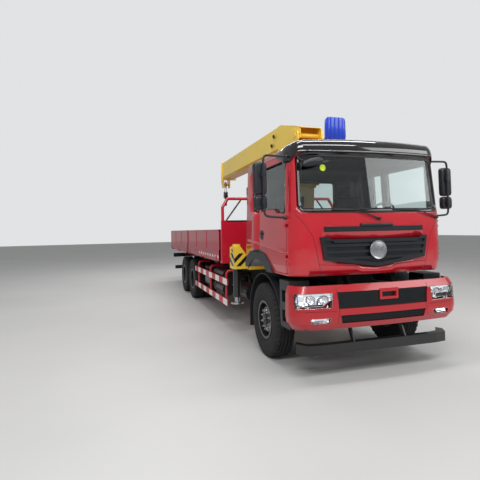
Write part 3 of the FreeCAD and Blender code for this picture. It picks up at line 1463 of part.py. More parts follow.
# Hook block: cheek plates, sheave, swivel and hook, hung from the head sheave
def hook_block():
    y, z = float(hook_y), float(hook_pin_z) - 330
    cheeks = [rounded_prism([(y - 95, z - 60), (y + 95, z - 60), (y + 60, z + 120), (y - 60, z + 120)],
                            "x", x, x + 14, 25) for x in (-48, 34)]
    sheave = Part.makeCylinder(SHEAVE - ROPE + 1, 60, V(-30, y, z + 20), V(1, 0, 0))
    axle = Part.makeCylinder(18, 110, V(-55, y, z + 20), V(1, 0, 0))
    falls = [Part.makeCylinder(ROPE, 310, V(0, y + dy, z + 20), V(0, 0, 1)) for dy in (-SHEAVE, SHEAVE)]
    over = Part.makeTorus(SHEAVE, ROPE, V(0, y, z + 330), V(1, 0, 0))
    falls.append(over.cut(Part.makeBox(40, 240, 120, V(-20, y - 120, z + 210))))
    bridge = Part.makeBox(96, 60, 36, V(-48, y - 30, z - 92))
    shank = Part.makeCylinder(20, 90, V(0, y, z - 180), V(0, 0, 1))
    bowl = Part.makeTorus(62, 20, V(0, y, z - 240), V(1, 0, 0), 0, 360)
    mouth = Part.makeBox(80, 70, 46, V(-40, y + 25, z - 230))
    hook = bowl.cut(mouth)
    return cheeks[0].multiFuse([cheeks[1], sheave, axle, bridge, shank, hook] + falls)


sub_part("hook_block", solid(hook_block()))


# Lifting cylinder: barrel on the column's pin, rod to the boom's eye
def luff_cylinder():
    base = V(0, float(luff_base_y), float(s.luff_base_height))
    eye = V(0, float(luff_eye_y), float(s.luff_eye_height))
    way = eye - base
    length = way.Length
    way.normalize()
    barrel_end = length - 240
    eye_ring = Part.makeCylinder(70, 110, base - V(55, 0, 0), V(1, 0, 0))
    barrel = Part.makeCylinder(float(s.luff_barrel_radius), barrel_end - 55, base + way * 55, way)
    bore = Part.makeCylinder(float(s.luff_rod_radius + s.running_gap), barrel_end, base + way * 130, way)
    pin_bore = Part.makeCylinder(38 + float(s.running_gap), 200, base - V(100, 0, 0), V(1, 0, 0))
    barrel = eye_ring.fuse(barrel).cut(Part.makeCompound([bore, pin_bore]))
    rod_body = Part.makeCylinder(float(s.luff_rod_radius), length - 30 - 160, base + way * 160, way)
    rod_eye = Part.makeCylinder(52, 2 * EYE_HALF, eye - V(EYE_HALF, 0, 0), V(1, 0, 0))
    return barrel, rod_body.fuse(rod_eye)


luff_barrel, luff_rod = luff_cylinder()
sub_part("luff_barrel", solid(luff_barrel))
sub_part("luff_rod", solid(luff_rod))


# Bed: sills, cross beams, floor, posts, front board and its tube frame
deck_low = s.bed_floor_top - s.bed_floor_thickness
side_inner = s.bed_half_width - s.bed_side_thickness
tail_face_y = tail_y - 30
tail_inner_y = tail_face_y - s.bed_side_thickness
floor_edge = side_inner - 12
mid_post_y = (bed_front_y + tail_inner_y) / 2


gate_hinge_x = s.bed_half_width + s.gate_hinge_out
tail_hinge_y = float(tail_y) - 8
GATE_KNUCKLE = 8
TAIL_HINGES = (-900, 0, 900)
GATES = (
    # name, low y, high y
    ("front", bed_front_y + s.post_width + s.gate_gap, mid_post_y - s.post_width / 2 - s.gate_gap),
    ("rear", mid_post_y + s.post_width / 2 + s.gate_gap,
     tail_inner_y - s.post_width - 12 - s.gate_gap),
)


def gate_hinges(y0, y1):
    return [y0 + (y1 - y0) * share for share in (0.08, 0.5, 0.92)]


def bed_hinge_ears():
    """Ears and pins for every gate hinge, with the edge beams that carry them."""
    low, high = float(deck_low) - 50, float(deck_low) + 1
    inside = float(side_inner) - 78
    length = float(tail_inner_y - bed_front_y) - 60
    beams = [Part.makeBox(60, length, high - low, V(x, float(bed_front_y), low)) for x in (inside, -inside - 60)]
    beams.append(Part.makeBox(2 * inside + 2, 60, high - low, V(-inside - 1, float(tail_inner_y) - 66, low)))
    tube, bore, ears = hinge_knuckle(GATE_KNUCKLE)
    height = float(s.gate_hinge_height)
    for row_name, low_y, high_y in GATES:
        for y in gate_hinges(float(low_y), float(high_y)):
            beams += [moved(ear, float(gate_hinge_x), y, height) for ear in ears]
            beams += [moved(ear, -float(gate_hinge_x), y, height, 180) for ear in ears]
    for x in TAIL_HINGES:
        beams += [moved(ear, x, tail_hinge_y, height, 90) for ear in ears]
    return beams[0].multiFuse(beams[1:])


def bed_frame():
    pieces = [box((-floor_edge, floor_edge), (bed_front_y + 10, tail_inner_y - 12), (deck_low, s.bed_floor_top))]
    for name, side in SIDES:
        pieces.append(box(side_span(side, s.rail_half_width - 80, s.rail_half_width), (bed_front_y, rail_rear_y),
                          (s.rail_top, deck_low - 55)))
        for y in (bed_front_y, mid_post_y - s.post_width / 2, tail_inner_y - s.post_width - 12):
            pieces.append(box(side_span(side, side_inner - 30, s.bed_half_width - 2), (y, y + s.post_width),
                              (deck_low - 45, s.bed_side_top - 5)))
    count = 14
    pitch = (tail_inner_y - bed_front_y - 200) / (count - 1)
    for i in range(count):
        y = bed_front_y + 30 + pitch * i
        pieces.append(box((-floor_edge + 20, floor_edge - 20), (y, y + 70), (deck_low - 56, deck_low)))
    board = box((-s.bed_half_width, s.bed_half_width), (bed_front_y - s.bulkhead_thickness, bed_front_y),
                (deck_low - 45, s.bulkhead_top))
    pieces.append(board)
    return fuse(*pieces)


def headboard():
    """Tube frame on the front board, its posts leaning in at the top."""
    y = float(bed_front_y - s.bulkhead_thickness / 2)
    out = float(s.bed_half_width) - 32
    foot, bend, top = float(s.bulkhead_top) - 5, 2300.0, float(s.headboard_top)
    radius = float(s.headboard_tube)
    hoop = [(-out, y, foot), (-out, y, bend), (-out + 105, y, top - radius), (out - 105, y, top - radius),
            (out, y, bend), (out, y, foot)]
    frame = tube_path(hoop, radius)
    uprights = [tube_path([(x, y, foot), (x, y, top - radius)], 22) for x in (-400, 400)]
    braces = [tube_path([(x, y, foot), (x + 330 * sign, y, top - radius)], 16)
              for x, sign in ((-1150, 1), (1150, -1))]
    return frame.multiFuse(uprights + braces)


sub_part("bed_frame", fuse(bed_frame(), solid(headboard()), solid(bed_hinge_ears())))


# Drop sides and tailgate: flanged panels with pressed ribs and hinge knuckles
RIB_PITCH = 560


def gate_panel(y0, y1):
    """Side panel on +X: frame as thick as the gate with shallow pockets outside."""
    x0, x1 = float(side_inner), float(s.bed_half_width)
    low, high = float(s.gate_hinge_height) - 8, float(s.bed_side_top)
    slab = Part.makeBox(x1 - x0, y1 - y0, high - low, V(x0, y0, low))
    count = max(1, int(round((y1 - y0) / RIB_PITCH)))
    pitch = (y1 - y0 - 70) / count
    pockets = []
    for i in range(count):
        a = y0 + 60 + pitch * i
        pockets.append(Part.makeBox(16, pitch - 50, high - low - 290, V(x1 - 14, a, low + 225)))
    slab = slab.cut(Part.makeCompound(pockets))
    step = Part.makeBox(8, y1 - y0, 24, V(x1 - 1, y0, low + 195))
    knuckles, bores = [], []
    for y in gate_hinges(y0, y1):
        tube, bore, ears = hinge_knuckle(GATE_KNUCKLE)
        knuckles.append(moved(tube, float(gate_hinge_x), y, float(s.gate_hinge_height)))
        bores.append(moved(bore, float(gate_hinge_x), y, float(s.gate_hinge_height)))
        knuckles.append(Part.makeBox(10, 60, 70, V(x1 - 1, y - 30, float(s.gate_hinge_height))))
    return slab.multiFuse([step] + knuckles).cut(Part.makeCompound(bores))


for row_name, low_y, high_y in GATES:
    panel = gate_panel(float(low_y), float(high_y))
    sub_part("gate_left_%s" % row_name, solid(panel))
    sub_part("gate_right_%s" % row_name, solid(panel.mirror(V(0, 0, 0), V(1, 0, 0))))


def tailgate():
    y0, y1 = float(tail_inner_y), float(tail_face_y)
    out = float(s.bed_half_width) - 4
    low, high = float(s.gate_hinge_height) - 8, float(s.bed_side_top)
    slab = Part.makeBox(2 * out, y1 - y0, high - low, V(-out, y0, low))
    count = 5
    pitch = (2 * out - 70) / count
    pockets = [Part.makeBox(pitch - 50, 16, high - low - 290, V(-out + 60 + pitch * i, y1 - 14, low + 225))
               for i in range(count)]
    slab = slab.cut(Part.makeCompound(pockets))
    knuckles, bores = [], []
    for x in TAIL_HINGES:
        tube, bore, ears = hinge_knuckle(GATE_KNUCKLE)
        knuckles.append(moved(tube, x, tail_hinge_y, float(s.gate_hinge_height), 90))
        bores.append(moved(bore, x, tail_hinge_y, float(s.gate_hinge_height), 90))
        knuckles.append(Part.makeBox(60, tail_hinge_y - y1 + 1, 70, V(x - 30, y1 - 1, float(s.gate_hinge_height))))
    return slab.multiFuse(knuckles).cut(Part.makeCompound(bores))


sub_part("tailgate", solid(tailgate()))


# Side guards: two striped rails on posts that curve up to the bed sills
def side_guards():
    pieces = []
    start = front_axle_y + 1780
    end = mid_axle_y - s.tyre_radius - 60
    for name, side in SIDES:
        for low in (420, 805):
            pieces.append(box(side_span(side, s.guard_half_width - 30, s.guard_half_width), (start, end),
                              (low, low + s.guard_rail_height)))
        for share in (0.06, 0.36, 0.66, 0.95):
            y = start + (end - start) * share
            pieces.append(box(side_span(side, s.guard_half_width - 75, s.guard_half_width - 29), (y, y + 45),
                              (400, deck_low - 56)))
        pieces.append(box(side_span(side, s.guard_half_width - 75, s.guard_half_width - 29),
                          (start + 60, end - 60), (deck_low - 100, deck_low - 56)))
    return fuse(*pieces)


sub_part("side_guards", side_guards())


# Tanks and boxes hung on the rails: fuel tank, air reservoirs, battery box, silencer
def underframe_equipment():
    y = float(front_axle_y)
    rail = float(s.rail_half_width)
    fuel = rounded_prism([(rail + 110, 500), (1130, 500), (1130, 1010), (rail + 110, 1010)], "y",
                         y + 2400, y + 3600, 90)
    pieces = [fuel]
    for off in (2600, 3350):
        strap = Part.makeBox(112, 70, 60, V(rail, y + off, 850))
        pieces[0] = pieces[0].fuse(strap)
    drop = Part.makeBox(30, 60, 345, V(-rail - 30, y + 2800, 590))
    arms = []
    for z in (620, 900):
        arms.append(Part.makeCylinder(125, 800, V(-1010, y + 2500, z), V(0, 1, 0)))
        arms.append(Part.makeBox(1010 - 120 - rail, 60, 50, V(-1010 + 120, y + 2800, z - 25)))
    pieces.append(drop.multiFuse(arms))
    battery = rounded_prism([(-1120, y + 3700), (-rail - 60, y + 3700), (-rail - 60, y + 4300),
                             (-1120, y + 4300)], "z", 560, 980, 25)
    pieces.append(battery.fuse(Part.makeBox(61, 120, 80, V(-rail - 60.5, y + 3900, 850)).common(
        Part.makeBox(60.5, 200, 200, V(-rail - 60.5, y + 3800, 800)))))
    silencer = Part.makeCylinder(150, 700, V(-750, y + 1650, 650), V(0, 1, 0))
    hang = Part.makeBox(40, 80, 300, V(-rail - 40, y + 1900, 560))
    link = Part.makeBox(170, 60, 50, V(-rail - 200, y + 1910, 640))
    pieces.append(silencer.multiFuse([hang, link]))
    return Part.makeCompound(pieces)


sub_part("underframe_equipment", solid(underframe_equipment()))


# Rear underrun bar with lamp boxes, rear mudguards and tow hitch
def rear_bumper():
    y = rail_rear_y
    bar = box((-1150, 1150), (y - 160, y - 60), (470, 590))
    hangers = [box(side_span(side, s.rail_half_width - 75, s.rail_half_width - 55), (y - 150, y - 70),
                   (589, rail_bottom)) for n, side in SIDES]
    lamp_bar = box((-1190, 1190), (y, y + 50), (900, 1020))
    lamps = [box(side_span(side, 760, 1170), (y + 49, y + 80), (890, 1030)) for n, side in SIDES]
    block = box((-110, 110), (y + 49, y + 70), (850, 1010))
    ears = [box((-70, 70), (y + 69, y + 170), (low, low + 28)) for low in (862, 970)]
    bore = rod("z", 0, y + 120, (850, 1010), s.hitch_bore_radius)
    return fuse(bar, *hangers, lamp_bar, *lamps, block, cut(fuse(*ears), bore))


sub_part("rear_bumper", rear_bumper())

doc.recompute()
problems = []
for item in doc.Objects:
    if "Invalid" in item.State or "Error" in item.State:
        problems.append("%s state %s" % (item.Label, item.State))
for item in finished:
    if item.Shape.isNull() or not item.Shape.isValid() or not item.Shape.Solids:
        problems.append("%s has no valid solid" % item.Label)
if problems:
    raise RuntimeError("; ".join(problems))
os.makedirs("parts", exist_ok=True)
for item in finished:
    item.Shape.exportStep("parts/%s.step" % item.Label)
print("%d sub-parts written" % len(finished))
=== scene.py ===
# Looks of the truck-mounted crane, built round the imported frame. Metres.
# +X is the truck's left, the front faces -Y, +Z is up.
import bpy
import bmesh
import math
from mathutils import Matrix, Vector
from mathutils.bvhtree import BVHTree


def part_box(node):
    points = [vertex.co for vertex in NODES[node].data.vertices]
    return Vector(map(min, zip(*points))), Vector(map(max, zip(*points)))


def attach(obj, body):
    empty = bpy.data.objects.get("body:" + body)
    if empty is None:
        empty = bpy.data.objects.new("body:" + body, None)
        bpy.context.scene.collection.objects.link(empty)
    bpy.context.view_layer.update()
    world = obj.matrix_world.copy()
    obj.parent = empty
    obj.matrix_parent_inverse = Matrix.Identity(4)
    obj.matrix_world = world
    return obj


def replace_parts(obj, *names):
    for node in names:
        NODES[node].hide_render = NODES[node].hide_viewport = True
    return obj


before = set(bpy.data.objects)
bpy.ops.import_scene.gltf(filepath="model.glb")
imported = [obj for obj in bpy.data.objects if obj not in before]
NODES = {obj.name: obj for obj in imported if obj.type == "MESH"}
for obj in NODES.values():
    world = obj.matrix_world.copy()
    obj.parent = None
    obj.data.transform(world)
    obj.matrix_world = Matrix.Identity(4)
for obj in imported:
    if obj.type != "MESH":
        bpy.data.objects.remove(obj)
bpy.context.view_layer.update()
SIDES = (("left", 1), ("right", -1))


def middle(node):
    low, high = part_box(node)
    return Vector([(a + b) / 2 for a, b in zip(low, high)])


FRONT_AXLE_Y = middle("tyre_front_left").y


# Material tools
def add_node(tree, kind, inputs, **settings):
    """A shader node; each input is set to a value or linked to a socket."""
    node = tree.nodes.new("ShaderNode" + kind)
    for key, value in settings.items():
        setattr(node, key, value)
    for key, value in inputs.items():
        if isinstance(value, bpy.types.NodeSocket):
            tree.links.new(value, node.inputs[key])
        else:
            node.inputs[key].default_value = value
    return node


def calc(tree, operation, *terms):
    """One maths node; each term is a number or a socket."""
    return add_node(tree, "Math", dict(enumerate(terms)), operation=operation).outputs["Value"]


def vector_calc(tree, operation, *terms, out="Vector"):
    return add_node(tree, "VectorMath", dict(enumerate(terms)), operation=operation).outputs[out]


def coordinates(tree, kind="Object"):
    """The piece's own coordinates, which are the row frame's metres."""
    return add_node(tree, "TexCoord", {}).outputs[kind]


def noise(tree, scale, detail=3.0, stretch=(1, 1, 1)):
    place = add_node(tree, "Mapping", {"Vector": coordinates(tree), "Scale": stretch})
    inputs = {"Vector": place.outputs["Vector"], "Scale": scale, "Detail": detail}
    return add_node(tree, "TexNoise", inputs).outputs["Fac"]


def ramp(tree, value, stops, constant=False):
    """A blend, or a hard change, between two (position, colour) stops."""
    node = add_node(tree, "ValToRGB", {"Fac": value})
    if constant:
        node.color_ramp.interpolation = "CONSTANT"
    for element, (position, colour) in zip(node.color_ramp.elements, stops):
        element.position = position
        element.color = (*colour, 1)
    return node.outputs["Color"]


def shade(colour, factor):
    return tuple(min(1.0, c * factor) for c in colour)


def vary(tree, shader, socket, scale, low, high):
    """Noise between two colours, into one of the shader's inputs."""
    drift = ramp(tree, noise(tree, scale), ((0.3, low), (0.7, high)))
    tree.links.new(drift, shader.inputs[socket])


def vary_colour(tree, shader, colour, scale, spread):
    vary(tree, shader, "Base Color", scale, shade(colour, 1 - spread), shade(colour, 1 + spread))


def vary_roughness(tree, shader, scale, low, high):
    vary(tree, shader, "Roughness", scale, (low,) * 3, (high,) * 3)


def bump(tree, shader, height, strength, distance):
    node = add_node(tree, "Bump", {"Height": height, "Strength": strength, "Distance": distance})
    tree.links.new(node.outputs["Normal"], shader.inputs["Normal"])


# Materials by name
M = {}


def new_material(name, colour, roughness, more=()):
    """A material in M; more holds values of further shader inputs."""
    M[name] = bpy.data.materials.new(name)
    M[name].use_nodes = True
    tree = M[name].node_tree
    shader = tree.nodes["Principled BSDF"]
    for key, value in (("Base Color", (*colour, 1)), ("Roughness", roughness), *more):
        shader.inputs[key].default_value = value
    return tree, shader


def paint(name, colour, roughness, coat):
    """Sprayed enamel: faint colour drift, orange peel and a clear coat."""
    tree, shader = new_material(name, colour, roughness,
                                (("Coat Weight", coat), ("Coat Roughness", 0.06)))
    vary_colour(tree, shader, colour, 1.7, 0.05)
    bump(tree, shader, noise(tree, 160, 1), 0.04, 0.0006)


def plastic(name, colour, roughness, grain=0.25):
    tree, shader = new_material(name, colour, roughness)
    vary_colour(tree, shader, colour, 6, 0.10)
    bump(tree, shader, noise(tree, 420, 2), grain, 0.0008)


def metal(name, colour, roughness):
    tree, shader = new_material(name, colour, roughness, (("Metallic", 1.0),))
    vary_roughness(tree, shader, 30, roughness * 0.7, roughness * 1.3)
    bump(tree, shader, noise(tree, 90, 3, (1, 1, 12)), 0.06, 0.0008)


def rubber(name, colour):
    """Tyre and hose rubber with a dusty bloom."""
    tree, shader = new_material(name, colour, 0.82)
    dust = ramp(tree, noise(tree, 7, 6), ((0.42, colour), (0.75, shade(colour, 2.1))))
    tree.links.new(dust, shader.inputs["Base Color"])
    bump(tree, shader, noise(tree, 260, 3), 0.2, 0.001)


def clear(name, colour, roughness=0.0):
    tree, shader = new_material(name, colour, roughness,
                                (("Transmission Weight", 1.0), ("IOR", 1.45)))
    vary_roughness(tree, shader, 2.5, roughness, roughness + 0.03)


def cloth(name, colour):
    """Woven seat cloth: two crossed fine waves under a soft sheen."""
    tree, shader = new_material(name, colour, 0.9, (("Sheen Weight", 0.4),))
    vary_colour(tree, shader, colour, 9, 0.2)
    waves = [add_node(tree, "TexWave", {"Vector": coordinates(tree), "Scale": 120},
                      bands_direction=direction).outputs["Fac"] for direction in "XZ"]
    bump(tree, shader, calc(tree, "MAXIMUM", *waves), 0.3, 0.001)


def bands(weights, pitch, first, second, offset=0.0):
    """A pattern of two colours in equal bands along the weights' direction."""
    def pattern(tree):
        along = vector_calc(tree, "DOT_PRODUCT", coordinates(tree), [w / pitch for w in weights],
                            out="Value")
        part = calc(tree, "FRACT", calc(tree, "ADD", along, 100 + offset))
        return ramp(tree, part, ((0.0, first), (0.5, second)), True)
    return pattern


def film(name, first, second, pitch, offset):
    """Reflective film in bands along the truck."""
    tree, shader = new_material(name, first, 0.4)
    pattern = bands((0, 1, 0), pitch, first, second, offset)
    tree.links.new(pattern(tree), shader.inputs["Base Color"])
    bump(tree, shader, noise(tree, 150, 1), 0.04, 0.0006)


CAB_RED = (0.56, 0.006, 0.018)
BED_RED = (0.50, 0.005, 0.028)
YELLOW = (0.93, 0.66, 0.055)
BLACK = (0.008, 0.008, 0.009)
LINING = (0.016, 0.017, 0.019)
LOOKS = (
    (paint, {
        "cab_red": (CAB_RED, 0.24, 1.0), "cab_body": (CAB_RED, 0.24, 1.0),
        "bumper_red": ((0.46, 0.004, 0.012), 0.22, 0.55),
        "bed_red": (BED_RED, 0.34, 0.6), "frame_red": (BED_RED, 0.34, 0.6),
        "crane_yellow": (YELLOW, 0.34, 0.6), "jack_yellow": (YELLOW, 0.34, 0.6),
        "chassis_black": ((0.010, 0.010, 0.011), 0.42, 0.3),
        "rim_black": ((0.013, 0.014, 0.016), 0.40, 0.4),
        "guard_red": ((0.52, 0.008, 0.02), 0.38, 0.5),
        "gloss_black": ((0.006, 0.005, 0.006), 0.10, 1.0),
        "seat_blue": ((0.006, 0.050, 0.60), 0.3, 0.6),
        "white_paint": ((0.80, 0.80, 0.78), 0.45, 0.2),
    }),
    (plastic, {
        "dark_plastic": ((0.016, 0.018, 0.022), 0.42),
        "mirror_plastic": ((0.018, 0.021, 0.027), 0.36, 0.15),
        "grille_plastic": ((0.012, 0.014, 0.019), 0.34, 0.12),
        # Near-black on the plate behind the bumper's honeycomb: painted shade for the depth of the
        # opening
        "mesh_black": ((0.003, 0.003, 0.004), 0.5, 0.1),
        "cast_metal": ((0.022, 0.022, 0.024), 0.6, 0.5),
        "cabin_grey": ((0.030, 0.031, 0.034), 0.6),
        "warning_dot": ((0.62, 0.80, 0.03), 0.4, 0.05),
    }),
    (metal, {
        "steel": ((0.50, 0.50, 0.51), 0.34), "satin_metal": ((0.42, 0.43, 0.45), 0.30),
        "chrome": ((0.80, 0.80, 0.82), 0.12), "reflector": ((0.90, 0.91, 0.93), 0.07),
        "mirror_glass": ((0.80, 0.83, 0.86), 0.03),
    }),
    (rubber, {"tyre_black": ((0.009, 0.009, 0.010),), "hose_black": ((0.008, 0.008, 0.009),)}),
    (clear, {
        "window_glass": ((0.72, 0.80, 0.79),), "lamp_clear": ((0.97, 0.98, 1.0),),
        "lamp_orange": ((1.0, 0.36, 0.04), 0.12), "lamp_red": ((0.75, 0.01, 0.01), 0.15),
    }),
    (cloth, {"seat_fabric": ((0.022, 0.023, 0.027),)}),
    (film, {"guard_stripes": ((0.60, 0.008, 0.025), (0.86, 0.85, 0.84), 0.62, 0.5)}),
)
for make, looks in LOOKS:
    for name, values in looks.items():
        make(name, *values)


# Second colours on a piece
def within(**limits):
    """A mask: 1 where the point is inside limits of |X|, Y and Z in metres, else 0."""
    def mask(tree):
        axes = add_node(tree, "SeparateXYZ", {0: coordinates(tree)}).outputs
        fac = 1.0
        for axis, (low, high) in limits.items():
            value = calc(tree, "ABSOLUTE", axes[axis]) if axis == "X" else axes[axis]
            for test, limit in (("GREATER_THAN", low), ("LESS_THAN", high)):
                fac = calc(tree, "MULTIPLY", fac, calc(tree, test, value, limit))
        return fac
    return mask


def near_line(y, z, radius):
    """A mask: 1 within radius of a line along X, else 0."""
    def mask(tree):
        away = vector_calc(tree, "SUBTRACT", coordinates(tree), (0, y, z))
        flat = vector_calc(tree, "MULTIPLY", away, (0, 1, 1))
        return calc(tree, "LESS_THAN", vector_calc(tree, "LENGTH", flat, out="Value"), radius)
    return mask


def facing_in(centre):
    """A mask: 1 on faces that look towards the centre, the lining of a hollow piece."""
    def mask(tree):
        away = vector_calc(tree, "SUBTRACT", coordinates(tree), centre)
        facing = vector_calc(tree, "DOT_PRODUCT", coordinates(tree, "Normal"), away, out="Value")
        return calc(tree, "LESS_THAN", facing, -0.01)
    return mask


def scuffs(tree):
    """Worn floor paint with scratches along the bed."""
    stops = ((0.45, (0.26, 0.010, 0.018)), (0.72, (0.13, 0.10, 0.10)))
    return ramp(tree, noise(tree, 14, 6, (6, 0.5, 1)), stops)


def overpaint(name, mask, colour, roughness=None):
    """A second colour, or a pattern, over the material where the mask is 1."""
    tree = M[name].node_tree
    fac = mask(tree)
    for key, value in (("Base Color", colour), ("Roughness", roughness)):
        if value is None:
            continue
        socket = tree.nodes["Principled BSDF"].inputs[key]
        under = socket.links[0].from_socket if socket.links else (socket.default_value,) * 3 + (1,)
        if callable(value):
            over = value(tree)
        else:
            over = (*(value if isinstance(value, tuple) else (value,) * 3), 1)
        mix = add_node(tree, "Mix", {0: fac, 6: under, 7: over}, data_type="RGBA")
        tree.links.new(mix.outputs[2], socket)


# The front wheel arches' axis and radius, and the crane's stretch of the truck
ARCH_Y, ARCH_Z, TRIM_RADIUS = FRONT_AXLE_Y + 0.200, 0.750, 0.815
CRANE_Y = (-4, -2)
# Cab: lining, wheel arches, underside
overpaint("cab_body", facing_in((0, -4.45, 2.05)), LINING, 0.75)
overpaint("cab_body", near_line(ARCH_Y, ARCH_Z, TRIM_RADIUS - 0.01), BLACK, 0.6)
overpaint("cab_body", within(X=(-1, 2), Y=(-6, -3), Z=(0.9, 1.252)), BLACK, 0.6)
# Bumper's inside; front board's braces; bed floor
overpaint("bumper_red", within(X=(-1, 1.06), Y=(-5.43, -5), Z=(0, 2)), BLACK, 0.6)
overpaint("frame_red", within(X=(0.44, 1.14), Y=(-2.3, -2.15), Z=(2.005, 2.435)), BLACK, 0.5)
overpaint("frame_red", within(X=(-1, 1.2), Y=(-2.12, 5.47), Z=(1.25, 1.31)), scuffs, 0.62)
# Outrigger ends: hazard bands over a black tube
overpaint("jack_yellow", within(X=(0.93, 2), Y=CRANE_Y, Z=(1.20, 1.43)),
          bands((1, 0.6, -1), 0.17, YELLOW, BLACK))
overpaint("jack_yellow", within(X=(0.96, 2), Y=CRANE_Y, Z=(0, 1.150)), BLACK, 0.4)

# Looks of the CAD nodes, by how their names start; the first match counts
NODE_LOOKS = (
    ("window_glass", "door_glass_ cab_glass"), ("cab_body", "cab_shell door_"),
    ("seat_fabric", "cab_seats"), ("mesh_black", "bumper_grilles"), ("bumper_red", "bumper"),
    ("frame_red", "bed_frame"), ("bed_red", "gate_ tailgate"), ("gloss_black", "roof_visor"),
    ("chassis_black", "chassis_frame hook_block underframe_equipment rear_bumper"),
    ("cast_metal", "front_axle rear_axles knuckle_ engine_driveline"),
    ("grille_plastic", "front_grille"), ("cabin_grey", "dashboard"),
    ("mirror_plastic", "mirror_"), ("dark_plastic", "front_mudguards arch_trims"),
    ("jack_yellow", "outrigger_beam_"), ("steel", "jack_leg_"), ("chrome", "luff_rod"),
    ("crane_yellow", "crane_ boom_ winch operator_station luff_barrel"),
    ("seat_blue", "operator_seat"), ("guard_red", "side_guards"), ("lamp_clear", "front_lamps"),
    ("tyre_black", "tyre_"), ("rim_black", "rim_"),
)


def look_of(node):
    return next(look for look, starts in NODE_LOOKS if node.startswith(tuple(starts.split())))


for node, item in NODES.items():
    for material_slot in item.material_slots:
        material_slot.material = M[look_of(node)]


# Mesh tools
def add_object(name, data):
    item = bpy.data.objects.new(name, data)
    bpy.context.scene.collection.objects.link(item)
    return item


def mesh_of(bm, name, outward=True):
    mesh = bpy.data.meshes.new(name)
    if outward:
        bmesh.ops.recalc_face_normals(bm, faces=bm.faces)
    bm.to_mesh(mesh)
    bm.free()
    return mesh


def set_piece(item, body):
    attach(item, body)
    return item


def finish_piece(name, bm, look, body, smooth=None, outward=True):
    """A piece from a bmesh; edges sharper than smooth, in degrees, stay sharp."""
    item = add_object(name, mesh_of(bm, name, outward))
    item.data.materials.append(M[look])
    if smooth is not None:
        item.data.shade_smooth()
        bpy.context.view_layer.objects.active = item
        item.select_set(True)
        bpy.ops.object.shade_smooth_by_angle(angle=math.radians(smooth))
        item.select_set(False)
    return set_piece(item, body)


def dark_trim(name, bm, body="cab", smooth=35):
    """A black moulded piece."""
    return finish_piece(name, bm, "grille_plastic", body, smooth)


def thicken(item, thickness, offset):
    change = item.modifiers.new("thick", "SOLIDIFY")
    change.thickness, change.offset = thickness, offset


def merge(bm, part):
    mesh = bpy.data.meshes.new("part")
    part.to_mesh(mesh)
    part.free()
    bm.from_mesh(mesh)
    bpy.data.meshes.remove(mesh)


def soften(part, edges, bevel):
    if bevel:
        bmesh.ops.bevel(part, geom=edges, offset=bevel, segments=2, affect="EDGES")


def add_block(bm, corner, opposite, bevel=0.0):
    """A block between two corners, with rounded edges."""
    low, high = [Vector([pick(pair) for pair in zip(corner, opposite)]) for pick in (min, max)]
    part = bmesh.new()
    bmesh.ops.create_cube(part, size=1)
    bmesh.ops.scale(part, vec=high - low, verts=part.verts)
    bmesh.ops.translate(part, vec=(high + low) / 2, verts=part.verts)
    soften(part, part.edges[:], bevel)
    merge(bm, part)


def add_rod(bm, start, end, radius, sides=20, tip=None, bevel=0.0):
    """A round bar between two points, tapering to tip."""
    start, end = Vector(start), Vector(end)
    run = end - start
    part = bmesh.new()
    bmesh.ops.create_cone(part, cap_ends=True, segments=sides, radius1=radius,
                          radius2=radius if tip is None else tip, depth=run.length)
    rims = [e for e in part.edges if abs(e.verts[0].co.z - e.verts[1].co.z) < 1e-6]
    soften(part, rims, bevel)
    turn = run.to_track_quat("Z", "Y").to_matrix().to_4x4()
    move(part, Matrix.Translation((start + end) / 2) @ turn)
    merge(bm, part)


def move(bm, matrix):
    bmesh.ops.transform(bm, matrix=matrix, verts=bm.verts)


def add_prism(bm, outline, low, high, axis="x", bevel=0.0):
    """A plate with a polygon outline, between two places along an axis."""
    at = {"x": lambda u, v, w: (w, u, v), "y": lambda u, v, w: (u, w, v)}[axis]
    part = bmesh.new()
    ends = [[part.verts.new(at(u, v, w)) for u, v in outline] for w in (low, high)]
    part.faces.new(ends[0])
    part.faces.new(list(reversed(ends[1])))
    join_rings(part, ends)
    bmesh.ops.recalc_face_normals(part, faces=part.faces)
    soften(part, part.edges[:], bevel)
    merge(bm, part)


def join_rings(bm, rings, around=False, loops=True):
    """Faces between neighbouring rings of vertices; around joins the last to the first."""
    for a, b in zip(rings, rings[1:] + (rings[:1] if around else [])):
        for j in range(len(a) if loops else len(a) - 1):
            k = (j + 1) % len(a)
            bm.faces.new((a[j], a[k], b[k], b[j]))


def loft_rows(bm, rows):
    """A skin over rows of points, closed at its ends."""
    rings = [[bm.verts.new(p) for p in row] for row in rows]
    join_rings(bm, rings)
    bm.faces.new(rings[0])
    bm.faces.new(list(reversed(rings[-1])))


def spokes(count, start=0.0):
    """Cosine and sine of evenly spread angles."""
    angles = [2 * math.pi * (i + start) / count for i in range(count)]
    return [(math.cos(a), math.sin(a)) for a in angles]


def tube(name, points, radius, look, body, smooth=True, closed=False):
    """A round bar or hose along points, as a curve with a bevel."""
    curve = bpy.data.curves.new(name, "CURVE")
    curve.dimensions = "3D"
    curve.bevel_depth = radius
    curve.bevel_resolution = 3
    curve.use_fill_caps = True
    spline = curve.splines.new("NURBS" if smooth else "POLY")
    spline.points.add(len(points) - 1)
    for point, place in zip(spline.points, points):
        point.co = (*place, 1)
    if smooth:
        spline.order_u = 3
        spline.use_endpoint_u = not closed
    spline.use_cyclic_u = closed
    curve.materials.append(M[look])
    set_piece(add_object(name, curve), body)


def tree_of(*names):
    """The nodes' surfaces as one search tree, for laying trim on them."""
    verts, faces = [], []
    for name in names:
        mesh = NODES[name].data
        base = len(verts)
        verts += [v.co.copy() for v in mesh.vertices]
        faces += [[base + i for i in polygon.vertices] for polygon in mesh.polygons]
    return BVHTree.FromPolygons(verts, faces)


